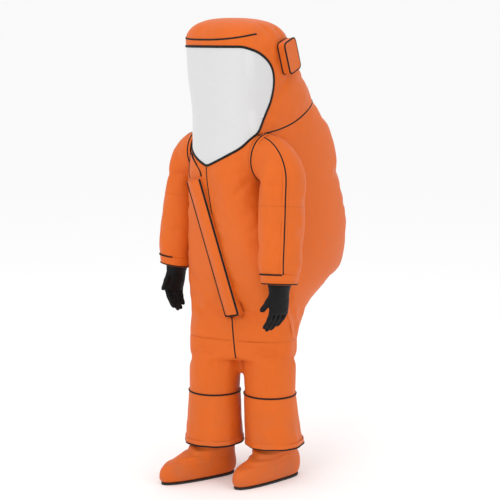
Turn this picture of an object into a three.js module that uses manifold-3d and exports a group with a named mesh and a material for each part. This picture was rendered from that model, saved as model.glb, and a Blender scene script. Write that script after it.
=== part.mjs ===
// A gas-tight chemical protective suit, standing as it does when worn or inflated for a pressure test.
// Millimetres, +Z up, the front of the suit faces -Y and the wearer's left is +X.
// The origin is on the floor, under the middle of the suit's box.

import * as THREE from "three";
import { mergeVertices } from "three/addons/utils/BufferGeometryUtils.js";
import Module from "manifold-3d";

const wasm = await Module();
wasm.setup();

// ---- Driving dimensions ----

const FABRIC = 3; // garment fabric with its seam allowance
const GAP = 0.3; // between pieces that touch
const FACET_MERGE = 0.12; // facets closer to flat than this are joined
const PROUD = 6; // how far a cutting tool runs past what it cuts

// Suit body
const BODY_BOTTOM = 520;
const BODY_TOP = 1892;
const DOME_START = 1796; // above this the hood closes over
const DOME_SQUARENESS = 2.6;
const DOME_ROWS = 4;
const DOME_ARC = 81; // degrees of the dome before its flat middle

// The body's level sections: height, middle (Y), half width, reach to the front and to the back of the
// middle, turn about Z in degrees (the right leg stands forward), and squareness of the front half.
const BODY_SECTIONS = [
  { z: 520, middle: 62, side: 222, front: 107, back: 112, turn: 35, square: 2.5 },
  { z: 610, middle: 62, side: 226, front: 98, back: 214, turn: 28, square: 2.6 },
  { z: 700, middle: 56, side: 232, front: 76, back: 326, turn: 19, square: 2.8 },
  { z: 755, middle: 42, side: 238, front: 68, back: 408, turn: 13, square: 3.0 },
  { z: 800, middle: 31, side: 243, front: 67, back: 496, turn: 10, square: 3.1 },
  { z: 845, middle: 24, side: 245, front: 68, back: 570, turn: 7, square: 3.2 },
  { z: 920, middle: 12, side: 246, front: 72, back: 592, turn: 4, square: 3.4 },
  { z: 1070, middle: 6, side: 226, front: 92, back: 590, turn: 0, square: 3.4 },
  { z: 1250, middle: 5, side: 190, front: 126, back: 562, turn: 0, square: 3.0 },
  { z: 1355, middle: 5, side: 184, front: 132, back: 540, turn: 0, square: 2.3 },
  { z: 1450, middle: 5, side: 184, front: 131, back: 496, turn: 0, square: 2.2 },
  { z: 1540, middle: 5, side: 176, front: 134, back: 420, turn: 0, square: 2.4 },
  { z: 1670, middle: 5, side: 184, front: 142, back: 326, turn: 0, square: 2.8 },
  { z: 1796, middle: 5, side: 188, front: 147, back: 240, turn: 0, square: 2.9 },
  { z: 1892, middle: 5, side: 188, front: 147, back: 216, turn: 0, square: 2.9 },
];
const BACK_SQUARENESS = 2.2;

// Seams that part the body into panels
const NECK_SEAM = [
  [-190, 1428],
  [0, 1446],
  [190, 1486],
  [430, 1592],
];
const SHOULDER_Y = 20; // the side and shoulder seams, and the arm's swing axis
const SHOULDER_Z = 1355;

// Visor: its outline as seen from the side, and its lower edge as seen from the front
const VISOR_SIDE = [
  [-85, 1788],
  [-8, 1762],
  [52, 1716],
  [72, 1655],
  [60, 1576],
  [20, 1504],
  [-15, 1450],
  [-58, 1398],
  [-104, 1336],
];
const VISOR_LOWER = [
  [0, 1316],
  [53, 1337],
  [110, 1366],
  [156, 1400],
  [190, 1462],
];
const VISOR_TOP = 1788;
const VISOR_THICKNESS = 2;
const VISOR_INSET = 0.5; // the visor's face, below the fabric's
const VISOR_SEAL_WIDTH = 8; // each side of the joint
const VISOR_SEAL_THICKNESS = 2.4;

// Sleeves
const ARMHOLE_X = 191;
const ARMHOLE = { high: 95, fore: 82 }; // half height and half width fore and aft
const SLEEVE_BEND = 98; // radius of the sleeve head's bend, from the armhole to the hanging arm
const ARM_OUT = 0.09; // how far the arm leans out and forward for each millimetre down
const ARM_FORWARD = 0.115;
const ELBOW_DROP = 204; // height from the end of the sleeve head's bend down to the elbow
const WRIST_DROP = 388; // and down to the end of the sleeve
const ELBOW_FRONT = 100; // half length of the elbow's folding fabric, at its front and at its back
const ELBOW_BACK = 22;
const RING = { radius: 47, wall: 3, low: 12, high: 46 };
const CUFF_EASE = { side: 14, fore: 23, flareSide: 3, flareFore: 14 }; // the sleeve's end, outside the ring
// Half widths of the sleeve across the body and along it, by the height above the sleeve's end
const SLEEVE_SECTIONS = [
  { z: 0, side: RING.radius + CUFF_EASE.side, fore: RING.radius + CUFF_EASE.fore },
  {
    z: 38,
    side: RING.radius + CUFF_EASE.side + CUFF_EASE.flareSide,
    fore: RING.radius + CUFF_EASE.fore + CUFF_EASE.flareFore,
  },
  { z: 84, side: 68, fore: 97 },
  { z: 190, side: 72, fore: 101 },
  { z: 388, side: 72, fore: 100 },
];
const CUFF_LENGTH = 38;
const CUFF_LIP = 1.5; // how far the cuff's wall stands out

// Glove joint round the ring, from the inside out: glove, end of the sleeve, clamp
const GAUNTLET_WALL = 2;
const SLEEVE_COLLAR = { wall: 3, low: 10, high: 42 };
const CLAMP = { wall: 1.6, low: 18, high: 32 };
const CLAMP_LUG = { across: 10, out: 8 };

// Glove
const PALM = { length: 116, width: 50, thickness: 24 }; // half width and half thickness
const FINGER_RADIUS = 11.2;
const FINGER_LENGTHS = [76, 88, 82, 62]; // from index to little
const FINGER_CURL = 22; // degrees, towards the thigh
const THUMB = { length: 74, radius: 13.5, spread: 27, from: 62 };
const GLOVE_WALL = 2;

// Legs: the middle of each leg from the ankle up, and its radius there
const LEG_SPINE = {
  left: [
    { z: 96, x: 101, y: 184 },
    { z: 150, x: 101, y: 152 },
    { z: 358, x: 98, y: 129 },
    { z: 560, x: 96, y: 124 },
  ],
  right: [
    { z: 96, x: -101, y: -4 },
    { z: 150, x: -101, y: -8 },
    { z: 358, x: -98, y: -6 },
    { z: 560, x: -96, y: 0 },
  ],
};
const LEG_RADII = [
  { z: 96, radius: 84 },
  { z: 176, radius: 88 },
  { z: 358, radius: 103 },
  { z: 520, radius: 106 },
  { z: 560, radius: 90 },
];
const HIP_SEAM = 600;
const SOCK_TOP = 176;

// Boot sock: reach from the ankle's middle to the toe and the heel, and half width, by height
const SOLE_THICKNESS = 8;
const SOLE_EDGE = 4; // how far the sole stands out round the sock
const FOOT_SECTIONS = [
  { z: 8, toe: 262, heel: 84, side: 52 },
  { z: 22, toe: 273, heel: 94, side: 59 },
  { z: 52, toe: 271, heel: 97, side: 61 },
  { z: 76, toe: 250, heel: 95, side: 62 },
  { z: 95, toe: 196, heel: 91, side: 64 },
  { z: 114, toe: 138, heel: 88, side: 70 },
  { z: 142, toe: 96, heel: 87, side: 80 },
  { z: 176, toe: 88, heel: 88, side: 88 },
];
const FOOT_SQUARENESS = 2.35;
const TOE_OUT = 5; // degrees

// Splash flap over the boot
const FLAP_SEAM = { low: 360, high: 372 }; // the band by which it hangs from the leg
const FLAP_HEM = { low: 150, high: 172 };
const FLAP_RADII = [
  { z: 150, radius: 122 },
  { z: 230, radius: 116 },
  { z: 372, radius: 107.5 },
];
const HEM_LIP = 1.5; // how far the hem stands out and in past the flap's wall

// Zip under a storm flap, on a straight line from the right chest to the left hip.
// Across the zip, + is towards the wearer's right; heights over the placket's face are in the same frame.
const ZIP_TOP = new THREE.Vector3(-74, -131, 1256);
const ZIP_BOTTOM = new THREE.Vector3(44, -27, 704);
const PLACKET = { half: 44, depth: 40, end: 2 };
const TAPE = { half: 20, low: 0.3, high: 1.9, end: 6 };
const CHAIN = { half: 5, core: 3, low: 2.2, high: 5.4, recess: 0.8, tooth: 9, pitch: 25, end: 26 };
const SLIDER = { half: 9.5, low: 2.5, high: 8.4, top: 6, slot: 5.7, length: 34 };
const PULL = { half: 6, low: 8.7, high: 10.5, length: 44, set: 12 }; // set down from the slider's top
const STOP = { half: 7, low: 2.2, high: 7, length: 11 };
const STORM_FLAP = { half: 43, foot: 10, wall: 3, arch: 12.5 };
const GRIP_STRIP = { half: 5, thickness: 1.4, at: -38, end: 4 };
const COLLAR_FLAP = [
  [-116.7, 1256],
  [-32.5, 1273],
  [-38, 1296],
  [-66, 1321],
  [-100, 1344],
  [-126, 1362],
  [-143, 1350],
  [-138, 1310],
  [-128, 1274],
];
const COLLAR_FLAP_WALL = 4;

// Exhaust valves on the hood, each under a cover
const VALVE_TURN = 118; // degrees round the hood from its front
const VALVE_Z = 1768;
const VALVE = { bore: 16, barrel: 20, barrelEnd: -17, flange: 30, flangeHeight: 6 };
const NUT = { radius: 28, low: -15, height: 6 };
const DISC = { radius: 24, thickness: 1.6 };
const COVER = { half: 50, up: 44, down: 84, depth: 38, wall: 2.5, corner: 18 };
const COVER_REACH = 70; // how deep the cover's block starts, before the hood is cut from it
const VENT = { margin: 22, height: 40, thickness: 16, at: 22 }; // the opening in the cover's lower wall
const THROUGH = 60; // reach of a round tool that passes right through the hood's wall

// ---- Materials ----

const material = (color, roughness, metalness = 0) =>
  new THREE.MeshStandardMaterial({ color, roughness, metalness });
const SUIT_FABRIC = material(0xe47226, 0.55);
const TRIM_TAPE = material(0x2a1c14, 0.6);
const VISOR_SHEET = material(0xe6e6e6, 0.12);
const BLACK_RUBBER = material(0x0b0b0b, 0.5);
const GREY_PLASTIC = material(0x4b4f52, 0.45);
const WEBBING = material(0x1d1d1f, 0.8);
const ZIP_METAL = material(0xb58a3c, 0.35, 0.9);
const SILICONE = material(0xd8d4c8, 0.4);

// ---- Solids: three.js geometry in, booleans by manifold-3d, three.js geometry out ----

function solidOf(geometry) {
  const bare = geometry.clone();
  for (const name of Object.keys(bare.attributes)) {
    if (name !== "position") bare.deleteAttribute(name);
  }
  const merged = mergeVertices(bare, 1e-3);
  const positions = merged.getAttribute("position").array;
  // Triangles that close up to a line, as at a pole, are left out.
  const corners = [];
  const index = merged.index.array;
  for (let i = 0; i < index.length; i += 3) {
    const [a, b, c] = index.slice(i, i + 3);
    if (a !== b && b !== c && a !== c) corners.push(a, b, c);
  }
  return new wasm.Manifold(
    new wasm.Mesh({ numProp: 3, vertProperties: positions, triVerts: new Uint32Array(corners) }),
  );
}

function geometryOf(solid) {
  const mesh = solid.getMesh();
  return new THREE.BufferGeometry()
    .setAttribute("position", new THREE.BufferAttribute(mesh.vertProperties, 3))
    .setIndex(new THREE.BufferAttribute(mesh.triVerts, 1));
}

// A closed skin: a cylinder whose wall and ends are laid where `place` says. `turn` is 0 at the front (-Y)
// and grows towards +X, `along` runs from 0 at the bottom to 1 at the top, and `reach` is 0 on the axis.
function skin(sides, rows, place) {
  const geometry = new THREE.CylinderGeometry(1, 1, 1, sides, rows);
  const position = geometry.getAttribute("position");
  for (let i = 0; i < position.count; i++) {
    const [x, y, z] = [position.getX(i), position.getY(i), position.getZ(i)];
    const point = place(Math.atan2(x, z), y + 0.5, Math.hypot(x, z));
    position.setXYZ(i, point.x, point.y, point.z);
  }
  return solidOf(geometry);
}

const box = (sizeX, sizeY, sizeZ, x = 0, y = 0, z = 0) =>
  solidOf(new THREE.BoxGeometry(sizeX, sizeY, sizeZ).translate(x, y, z));

// A cylinder along Z, from `low` to `high`.
const drum = (radius, low, high, sides = 20) =>
  solidOf(
    new THREE.CylinderGeometry(radius, radius, high - low, sides)
      .rotateX(Math.PI / 2)
      .translate(0, 0, (low + high) / 2),
  );

const ring = (inner, outer, low, high, sides = 20) =>
  drum(outer, low, high, sides).subtract(drum(inner, low - PROUD, high + PROUD, sides));

// An outline in the YZ plane, extruded to both sides along X.
function sideTool(points, halfWidth) {
  const shape = new THREE.Shape(points.map(([y, z]) => new THREE.Vector2(y, z)));
  const geometry = new THREE.ExtrudeGeometry(shape, { depth: 2 * halfWidth, bevelEnabled: false });
  geometry.translate(0, 0, -halfWidth);
  geometry.applyMatrix4(new THREE.Matrix4().set(0, 0, 1, 0, 1, 0, 0, 0, 0, 1, 0, 0, 0, 0, 0, 1));
  return solidOf(geometry);
}

// An outline in the XZ plane, extruded along Y from the front to `backY`.
function frontTool(points, frontY, backY) {
  const shape = new THREE.Shape(points.map(([x, z]) => new THREE.Vector2(x, z)));
  const geometry = new THREE.ExtrudeGeometry(shape, { depth: backY - frontY, bevelEnabled: false });
  geometry.rotateX(Math.PI / 2).translate(0, backY, 0);
  return solidOf(geometry);
}

function spline(points, count) {
  const curve = new THREE.SplineCurve(points.map(([u, v]) => new THREE.Vector2(u, v)));
  return curve.getPoints(count).map((p) => [p.x, p.y]);
}

// A value that runs smoothly through a list of stations, each with a height `z`.
function through(stations, key, z) {
  const last = stations.length - 1;
  if (z <= stations[0].z) return stations[0][key];
  if (z >= stations[last].z) return stations[last][key];
  const i = stations.findIndex((s) => s.z > z) - 1;
  const [before, low, high, after] = [i - 1, i, i + 1, i + 2].map(
    (k) => stations[Math.min(Math.max(k, 0), last)],
  );
  const span = high.z - low.z;
  const t = (z - low.z) / span;
  const slope = (p, q) => (q.z === p.z ? 0 : (q[key] - p[key]) / (q.z - p.z));
  const start = slope(before, high) * span;
  const end = slope(low, after) * span;
  const [t2, t3] = [t * t, t * t * t];
  return (
    (2 * t3 - 3 * t2 + 1) * low[key] +
    (t3 - 2 * t2 + t) * start +
    (3 * t2 - 2 * t3) * high[key] +
    (t3 - t2) * end
  );
}

const power = (value, squareness) => Math.sign(value) * Math.abs(value) ** (2 / squareness);

// ---- Suit body ----

// A point on the suit's outer surface, moved out by `grow`.
function bodyPoint(turn, z, grow = 0, reach = 1) {
  const rise = Math.min(1, Math.max(0, (z - DOME_START) / (BODY_TOP + grow - DOME_START)));
  const closing = (1 - rise ** DOME_SQUARENESS) ** (1 / DOME_SQUARENESS) * reach;
  const at = (key) => through(BODY_SECTIONS, key, z);
  const [sine, cosine] = [Math.sin(turn), Math.cos(turn)];
  const squareness = cosine > 0 ? at("square") : BACK_SQUARENESS;
  const depth = (cosine > 0 ? at("front") : at("back")) + grow;
  const x = (at("side") + grow) * closing * power(sine, squareness);
  const y = -depth * closing * power(cosine, squareness);
  const angle = THREE.MathUtils.degToRad(at("turn"));
  return new THREE.Vector3(
    x * Math.cos(angle) - y * Math.sin(angle),
    at("middle") + x * Math.sin(angle) + y * Math.cos(angle),
    z,
  );
}

const BODY_SIDES = 30;
const BODY_ROWS = 15;

function bodySolid(grow) {
  const bottom = BODY_BOTTOM - grow;
  const place = (turn, along, reach) => {
    const row = Math.round(along * (BODY_ROWS + DOME_ROWS));
    if (row <= BODY_ROWS) {
      return bodyPoint(turn, bottom + ((DOME_START - bottom) * row) / BODY_ROWS, grow, reach);
    }
    const arc = THREE.MathUtils.degToRad(((row - BODY_ROWS) / DOME_ROWS) * DOME_ARC);
    const rise = Math.sin(arc) ** (2 / DOME_SQUARENESS);
    return bodyPoint(turn, DOME_START + (BODY_TOP + grow - DOME_START) * rise, grow, reach);
  };
  return skin(BODY_SIDES, BODY_ROWS + DOME_ROWS, place);
}

// ---- Cutting tools for the body's seams ----

const WIDE = 420; // reach of a cutting tool that clears the suit

// A block that turns with the body's sections: x and y are measured from the section's middle.
function turnedBlock(lowX, highX, lowY, highY) {
  const [low, high] = [60, 1700];
  const geometry = new THREE.BoxGeometry(highX - lowX, highY - lowY, high - low, 3, 16, 32);
  geometry.translate((lowX + highX) / 2, (lowY + highY) / 2, (low + high) / 2);
  const position = geometry.getAttribute("position");
  for (let i = 0; i < position.count; i++) {
    const [x, y, z] = [position.getX(i), position.getY(i), position.getZ(i)];
    const angle = THREE.MathUtils.degToRad(through(BODY_SECTIONS, "turn", z));
    position.setX(i, x * Math.cos(angle) - y * Math.sin(angle));
    position.setY(i, through(BODY_SECTIONS, "middle", z) + x * Math.sin(angle) + y * Math.cos(angle));
  }
  return solidOf(geometry);
}

const SIDE_SEAM = 10; // the side seams, behind each section's middle
const splitSides = (solid) => ({
  left: solid.intersect(turnedBlock(GAP / 2, WIDE, -900, 900)),
  right: solid.subtract(turnedBlock(-GAP / 2, WIDE, -900, 900)),
});
const splitFront = (solid) => ({
  front: solid.intersect(turnedBlock(-WIDE, WIDE, -900, SIDE_SEAM - GAP / 2)),
  back: solid.subtract(turnedBlock(-WIDE, WIDE, -900, SIDE_SEAM + GAP / 2)),
});
const aboveHip = box(900, 1600, 1600, 0, 200, HIP_SEAM + GAP / 2 + 800);
const belowHip = box(900, 1600, 900, 0, 200, HIP_SEAM - GAP / 2 - 450);

function aboveNeck(lift) {
  const line = spline(NECK_SEAM, 12).map(([y, z]) => [y, z + lift]);
  const [front, back] = [line[0], line.at(-1)];
  return sideTool([...line, [900, back[1]], [900, 2100], [-400, 2100], [-400, front[1]]], WIDE);
}

// The visor's outline as a tool, grown by `grow` all round.
function visorTool(grow) {
  const back = spline(VISOR_SIDE, 22).map(([y, z], i, all) => {
    const [before, after] = [all[Math.max(i - 1, 0)], all[Math.min(i + 1, all.length - 1)]];
    const [dy, dz] = [after[0] - before[0], after[1] - before[1]];
    const length = Math.hypot(dy, dz);
    return [y - (dz / length) * grow, z + (dy / length) * grow];
  });
  const fromSide = sideTool([[-400, VISOR_TOP + grow], ...back, [-400, back.at(-1)[1]]], WIDE);
  const lower = spline(VISOR_LOWER, 10).map(([x, z]) => [x, z - grow]);
  const mirrored = lower.slice(1).map(([x, z]) => [-x, z]);
  const upper = [WIDE, 1950];
  const shoulder = [WIDE, lower.at(-1)[1]];
  const ends = [shoulder, upper].map(([x, z]) => [-x, z]);
  const front = [...mirrored.reverse(), ...lower, shoulder, upper, ends[1], ends[0]];
  return fromSide.intersect(frontTool(front, -500, 300));
}

// ---- Suit body, hollow ----

const outer = bodySolid(0);
const inner = bodySolid(-FABRIC);
const grown = bodySolid(GAP);
const visorOpening = visorTool(GAP / 2);

const armhole = (inset, from, to) =>
  solidOf(
    new THREE.CylinderGeometry(1, 1, Math.abs(to - from), 20)
      .rotateZ(Math.PI / 2)
      .scale(1, ARMHOLE.fore - inset, ARMHOLE.high - inset)
      .translate((from + to) / 2, SHOULDER_Y, SHOULDER_Z),
  );

let shell = outer.subtract(inner);
for (const side of [1, -1]) {
  const stub = armhole(0, 120 * side, ARMHOLE_X * side);
  const hole = armhole(FABRIC, 100 * side, (ARMHOLE_X + PROUD) * side);
  shell = shell.add(stub.subtract(inner)).subtract(hole);
}
shell = shell.subtract(visorOpening);
const torso = shell.intersect(aboveHip).subtract(aboveNeck(-GAP / 2));

// ---- Legs and feet ----

function legTube(side, low, high, radiusAt, sides = 20, rows = 6) {
  const place = (turn, along, reach) => {
    const z = low + (high - low) * along;
    const radius = radiusAt(z) * reach;
    const [x, y] = ["x", "y"].map((key) => through(LEG_SPINE[side], key, z));
    return new THREE.Vector3(x + radius * Math.sin(turn), y - radius * Math.cos(turn), z);
  };
  return skin(sides, rows, place);
}

const legRadius = (z) => through(LEG_RADII, "radius", z);
const hipTop = LEG_RADII.at(-1).z;

function footPoint(side, turn, z, grow, reach) {
  const at = (key) => through(FOOT_SECTIONS, key, z) + grow;
  const [sine, cosine] = [Math.sin(turn), Math.cos(turn)];
  const squareness = 2 + (FOOT_SQUARENESS - 2) * Math.min(1, Math.max(0, (SOCK_TOP - z) / 80));
  const x = at("side") * reach * power(sine, squareness);
  const y = -(cosine > 0 ? at("toe") : at("heel")) * reach * power(cosine, squareness);
  const level = Math.max(z, LEG_SPINE[side][0].z);
  const fade = Math.min(1, Math.max(0, (SOCK_TOP - z) / 60));
  const out = THREE.MathUtils.degToRad(TOE_OUT) * (side === "left" ? 1 : -1) * fade;
  return new THREE.Vector3(
    through(LEG_SPINE[side], "x", level) + x * Math.cos(out) - y * Math.sin(out),
    through(LEG_SPINE[side], "y", level) + x * Math.sin(out) + y * Math.cos(out),
    z,
  );
}

function footSolid(side, low, high, grow, rows, sectionAt = (z) => z) {
  const place = (turn, along, reach) => {
    const z = low + (high - low) * along;
    const point = footPoint(side, turn, sectionAt(z), grow, reach);
    return point.setZ(z);
  };
  return skin(20, rows, place);
}

// ---- Sleeve: the arm's path from the armhole, over the bend and down to the wrist ----

const lean = Math.hypot(ARM_OUT, ARM_FORWARD, 1);
const armDown = new THREE.Vector3(ARM_OUT / lean, -ARM_FORWARD / lean, -1 / lean);
const armStart = new THREE.Vector3(ARMHOLE_X + GAP + SLEEVE_BEND, SHOULDER_Y, SHOULDER_Z - SLEEVE_BEND);
const armPoint = (drop) => armStart.clone().addScaledVector(armDown, drop * lean);

// A frame with +Z up along the arm, +X out to the side and -Y forward, at a height below the bend.
function armFrame(drop) {
  const up = armDown.clone().negate();
  const out = new THREE.Vector3(1, 0, 0).addScaledVector(up, -up.x).normalize();
  return new THREE.Matrix4().makeBasis(out, up.clone().cross(out), up).setPosition(armPoint(drop));
}

const SLEEVE_BEND_ROWS = 4;
const SLEEVE_ROWS = 6;

function sleeveSolid(inset, past) {
  const rows = SLEEVE_BEND_ROWS + SLEEVE_ROWS;
  const place = (turn, along, reach) => {
    const row = Math.round((1 - along) * rows); // from the armhole down
    const local = new THREE.Vector3(Math.sin(turn), -Math.cos(turn), 0).multiplyScalar(reach);
    if (row <= SLEEVE_BEND_ROWS) {
      const part = row / SLEEVE_BEND_ROWS;
      const angle = (part * Math.PI) / 2;
      const side = THREE.MathUtils.lerp(ARMHOLE.high, SLEEVE_SECTIONS.at(-1).side, part) - inset;
      const fore = THREE.MathUtils.lerp(ARMHOLE.fore, SLEEVE_SECTIONS.at(-1).fore, part) - inset;
      const radial = SLEEVE_BEND + local.x * side;
      const start = row === 0 ? past : 0;
      return new THREE.Vector3(
        ARMHOLE_X + GAP - start + radial * Math.sin(angle),
        SHOULDER_Y + local.y * fore,
        SHOULDER_Z - SLEEVE_BEND + radial * Math.cos(angle),
      );
    }
    const part = (row - SLEEVE_BEND_ROWS) / SLEEVE_ROWS;
    const drop = WRIST_DROP * part + (row === rows ? past : 0);
    const above = WRIST_DROP * (1 - part);
    const side = through(SLEEVE_SECTIONS, "side", above) - inset;
    const fore = through(SLEEVE_SECTIONS, "fore", above) - inset;
    const blend = Math.min(1, part * SLEEVE_ROWS);
    const middle = armPoint(drop);
    const out = new THREE.Vector3(1, 0, ARM_OUT * blend).normalize();
    const back = new THREE.Vector3(0, 1, -ARM_FORWARD * blend).normalize();
    return middle.addScaledVector(out, local.x * side).addScaledVector(back, local.y * fore);
  };
  return skin(20, rows, place);
}

const moved = (solid, matrix) => solidOf(geometryOf(solid).applyMatrix4(matrix));
const elbow = armFrame(ELBOW_DROP);
const wrist = armFrame(WRIST_DROP);

// Everything above a tilted plane at the elbow (`sense` 1), or below its mirror image (-1).
function elbowTool(sense, shift) {
  const tilt = Math.atan2(ELBOW_FRONT - ELBOW_BACK, 2 * SLEEVE_SECTIONS.at(-1).fore);
  const middle = (ELBOW_FRONT + ELBOW_BACK) / 2 + shift;
  const geometry = new THREE.BoxGeometry(600, 800, 900)
    .translate(0, 0, 450 * sense)
    .rotateX(-tilt * sense)
    .translate(0, 0, middle * sense);
  return solidOf(geometry.applyMatrix4(elbow));
}

const sleeve = sleeveSolid(0, 0).subtract(sleeveSolid(FABRIC, PROUD));
const aboveElbow = elbowTool(1, 0);
const belowElbow = elbowTool(-1, 0);
const wristBox = (low, high) =>
  solidOf(new THREE.BoxGeometry(400, 400, high - low).translate(0, 0, (low + high) / 2).applyMatrix4(wrist));

// The sleeve's end turns in above the cuff, and its collar goes over the glove.
const gauntletRadius = RING.radius + GAP + GAUNTLET_WALL;
const collarInner = gauntletRadius + GAP;
const collarOuter = collarInner + SLEEVE_COLLAR.wall;
const turnIn = sleeveSolid(1, PROUD).intersect(wristBox(SLEEVE_COLLAR.high - FABRIC, SLEEVE_COLLAR.high));
const collar = moved(drum(collarOuter, SLEEVE_COLLAR.low, SLEEVE_COLLAR.high), wrist);
const collarHole = moved(drum(collarInner, 0, SLEEVE_COLLAR.high + PROUD), wrist);
const sleeveLower = sleeve
  .intersect(belowElbow)
  .subtract(wristBox(-60, CUFF_LENGTH + GAP))
  .add(turnIn)
  .add(collar)
  .subtract(collarHole);
const cuff = sleeveSolid(-CUFF_LIP, 0)
  .subtract(sleeveSolid(FABRIC, PROUD))
  .intersect(wristBox(-60, CUFF_LENGTH))
  .subtract(moved(drum(collarOuter + GAP, -60, SLEEVE_COLLAR.high + PROUD), wrist));

// ---- Glove ----

function gloveSolid(inset) {
  const top = RING.high + (inset ? PROUD : 0);
  const bottom = -PALM.length + inset;
  const stations = [
    { z: -PALM.length, side: PALM.thickness * 0.72, fore: PALM.width * 0.94 },
    { z: -PALM.length + 12, side: PALM.thickness * 0.94, fore: PALM.width },
    { z: -PALM.length * 0.55, side: PALM.thickness, fore: PALM.width * 1.02 },
    { z: -24, side: PALM.thickness * 1.4, fore: PALM.width * 0.96 },
    { z: 8, side: gauntletRadius, fore: gauntletRadius },
    { z: 9, side: gauntletRadius, fore: gauntletRadius },
    { z: RING.high, side: gauntletRadius, fore: gauntletRadius },
  ];
  const levels = [bottom, -PALM.length + 12, -PALM.length * 0.75, -PALM.length * 0.45, -22, -4, 8, top];
  const place = (turn, along, reach) => {
    const z = levels[Math.round(along * (levels.length - 1))];
    const side = (through(stations, "side", z) - inset) * reach;
    const fore = (through(stations, "fore", z) - inset) * reach;
    return new THREE.Vector3(side * Math.sin(turn), -fore * Math.cos(turn), z);
  };
  let glove = skin(20, 7, place);
  const pitch = (2 * PALM.width) / FINGER_LENGTHS.length;
  FINGER_LENGTHS.forEach((length, i) => {
    const radius = FINGER_RADIUS - inset;
    const finger = new THREE.CapsuleGeometry(radius, length, 2, 6)
      .rotateX(Math.PI / 2)
      .translate(0, 0, -length / 2)
      .rotateY(THREE.MathUtils.degToRad(FINGER_CURL))
      .translate(0, (i - 1.5) * pitch, -PALM.length + FINGER_RADIUS);
    glove = glove.add(solidOf(finger));
  });
  const thumb = new THREE.CapsuleGeometry(THUMB.radius - inset, THUMB.length, 2, 6)
    .rotateX(Math.PI / 2)
    .translate(0, 0, -THUMB.length / 2)
    .rotateX(-THREE.MathUtils.degToRad(THUMB.spread))
    .rotateY(THREE.MathUtils.degToRad(FINGER_CURL / 2))
    .translate(0, -PALM.width + THUMB.radius * 1.2, -THUMB.from * 0.55);
  return glove.add(solidOf(thumb));
}

const glove = gloveSolid(0).subtract(gloveSolid(GLOVE_WALL));

// ---- Exhaust valve, in a frame with +Z out of the hood and +Y up ----

function valveFrame() {
  const turn = THREE.MathUtils.degToRad(VALVE_TURN);
  const [dTurn, dZ] = [0.02, 30];
  const around = bodyPoint(turn + dTurn, VALVE_Z).sub(bodyPoint(turn - dTurn, VALVE_Z));
  const up = bodyPoint(turn, VALVE_Z + dZ).sub(bodyPoint(turn, VALVE_Z - dZ)).normalize();
  const across = around.addScaledVector(up, -around.dot(up)).normalize();
  const point = bodyPoint(turn, VALVE_Z);
  return new THREE.Matrix4().makeBasis(across, up, across.clone().cross(up)).setPosition(point);
}

const valve = valveFrame();
const mirrored = (solid) => solid.mirror([1, 0, 0]);

// The hood's facets aren't quite a mirror image of themselves, so a piece made for both sides clears both.
const hoodForm = grown.add(mirrored(grown));

const seatBody = drum(VALVE.barrel, VALVE.barrelEnd, VALVE.flangeHeight)
  .add(drum(VALVE.flange, VALVE.barrelEnd, VALVE.flangeHeight))
  .subtract(drum(VALVE.bore, -THROUGH, THROUGH));
const hoodRoundBarrel = hoodForm.intersect(moved(ring(VALVE.barrel, 80, -THROUGH, THROUGH), valve));
const valveSeat = moved(seatBody, valve).subtract(hoodRoundBarrel);
const nutHole = drum(VALVE.barrel + GAP, -THROUGH, THROUGH);
const nut = drum(NUT.radius, NUT.low, NUT.low + NUT.height, 6).subtract(nutHole);
const valveNut = moved(nut, valve);
const valveDisc = moved(
  drum(DISC.radius, VALVE.flangeHeight + GAP, VALVE.flangeHeight + GAP + DISC.thickness),
  valve,
);

function coverShape(inset) {
  const { half, up, down, corner } = COVER;
  const [w, top, low, r] = [half - inset, up - inset, -down + inset, corner - inset];
  const shape = new THREE.Shape();
  shape.moveTo(-w, low + r);
  shape.lineTo(-w, top - r);
  shape.quadraticCurveTo(-w, top, -w + r, top);
  shape.lineTo(w - r, top);
  shape.quadraticCurveTo(w, top, w, top - r);
  shape.lineTo(w, low + r);
  shape.quadraticCurveTo(w, low, w - r, low);
  shape.lineTo(-w + r, low);
  shape.quadraticCurveTo(-w, low, -w, low + r);
  return shape;
}
const coverBlock = (inset, low, high) => {
  const options = { depth: high - low, bevelEnabled: false, curveSegments: 4 };
  return solidOf(new THREE.ExtrudeGeometry(coverShape(inset), options).translate(0, 0, low));
};
const ventSlot = box(2 * (COVER.half - VENT.margin), VENT.height, VENT.thickness, 0, -COVER.down, VENT.at);
const coverShell = coverBlock(0, -COVER_REACH, COVER.depth)
  .subtract(coverBlock(COVER.wall, -COVER_REACH - PROUD, COVER.depth - COVER.wall))
  .subtract(ventSlot);
const valveCover = moved(coverShell, valve).subtract(hoodForm);

let hood = outer.subtract(inner).intersect(aboveNeck(GAP / 2)).subtract(visorOpening);
const valveHole = moved(drum(VALVE.barrel + GAP, -THROUGH, THROUGH), valve);
hood = hood.subtract(valveHole).subtract(mirrored(valveHole));

// ---- Zip and storm flap, in a frame with +Z up along the zip, +Y out and +X to the wearer's right ----

const zipUp = ZIP_TOP.clone().sub(ZIP_BOTTOM);
const zipLength = zipUp.length();
zipUp.normalize();
const zipOut = new THREE.Vector3(0, -zipUp.z, zipUp.y).normalize();
const zipAcross = zipOut.clone().cross(zipUp);
const zipFrame = new THREE.Matrix4().makeBasis(zipAcross, zipOut, zipUp).setPosition(ZIP_BOTTOM);
const strip = (lowX, highX, lowY, highY, lowZ, highZ) =>
  box(highX - lowX, highY - lowY, highZ - lowZ, (lowX + highX) / 2, (lowY + highY) / 2, (lowZ + highZ) / 2);

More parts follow.
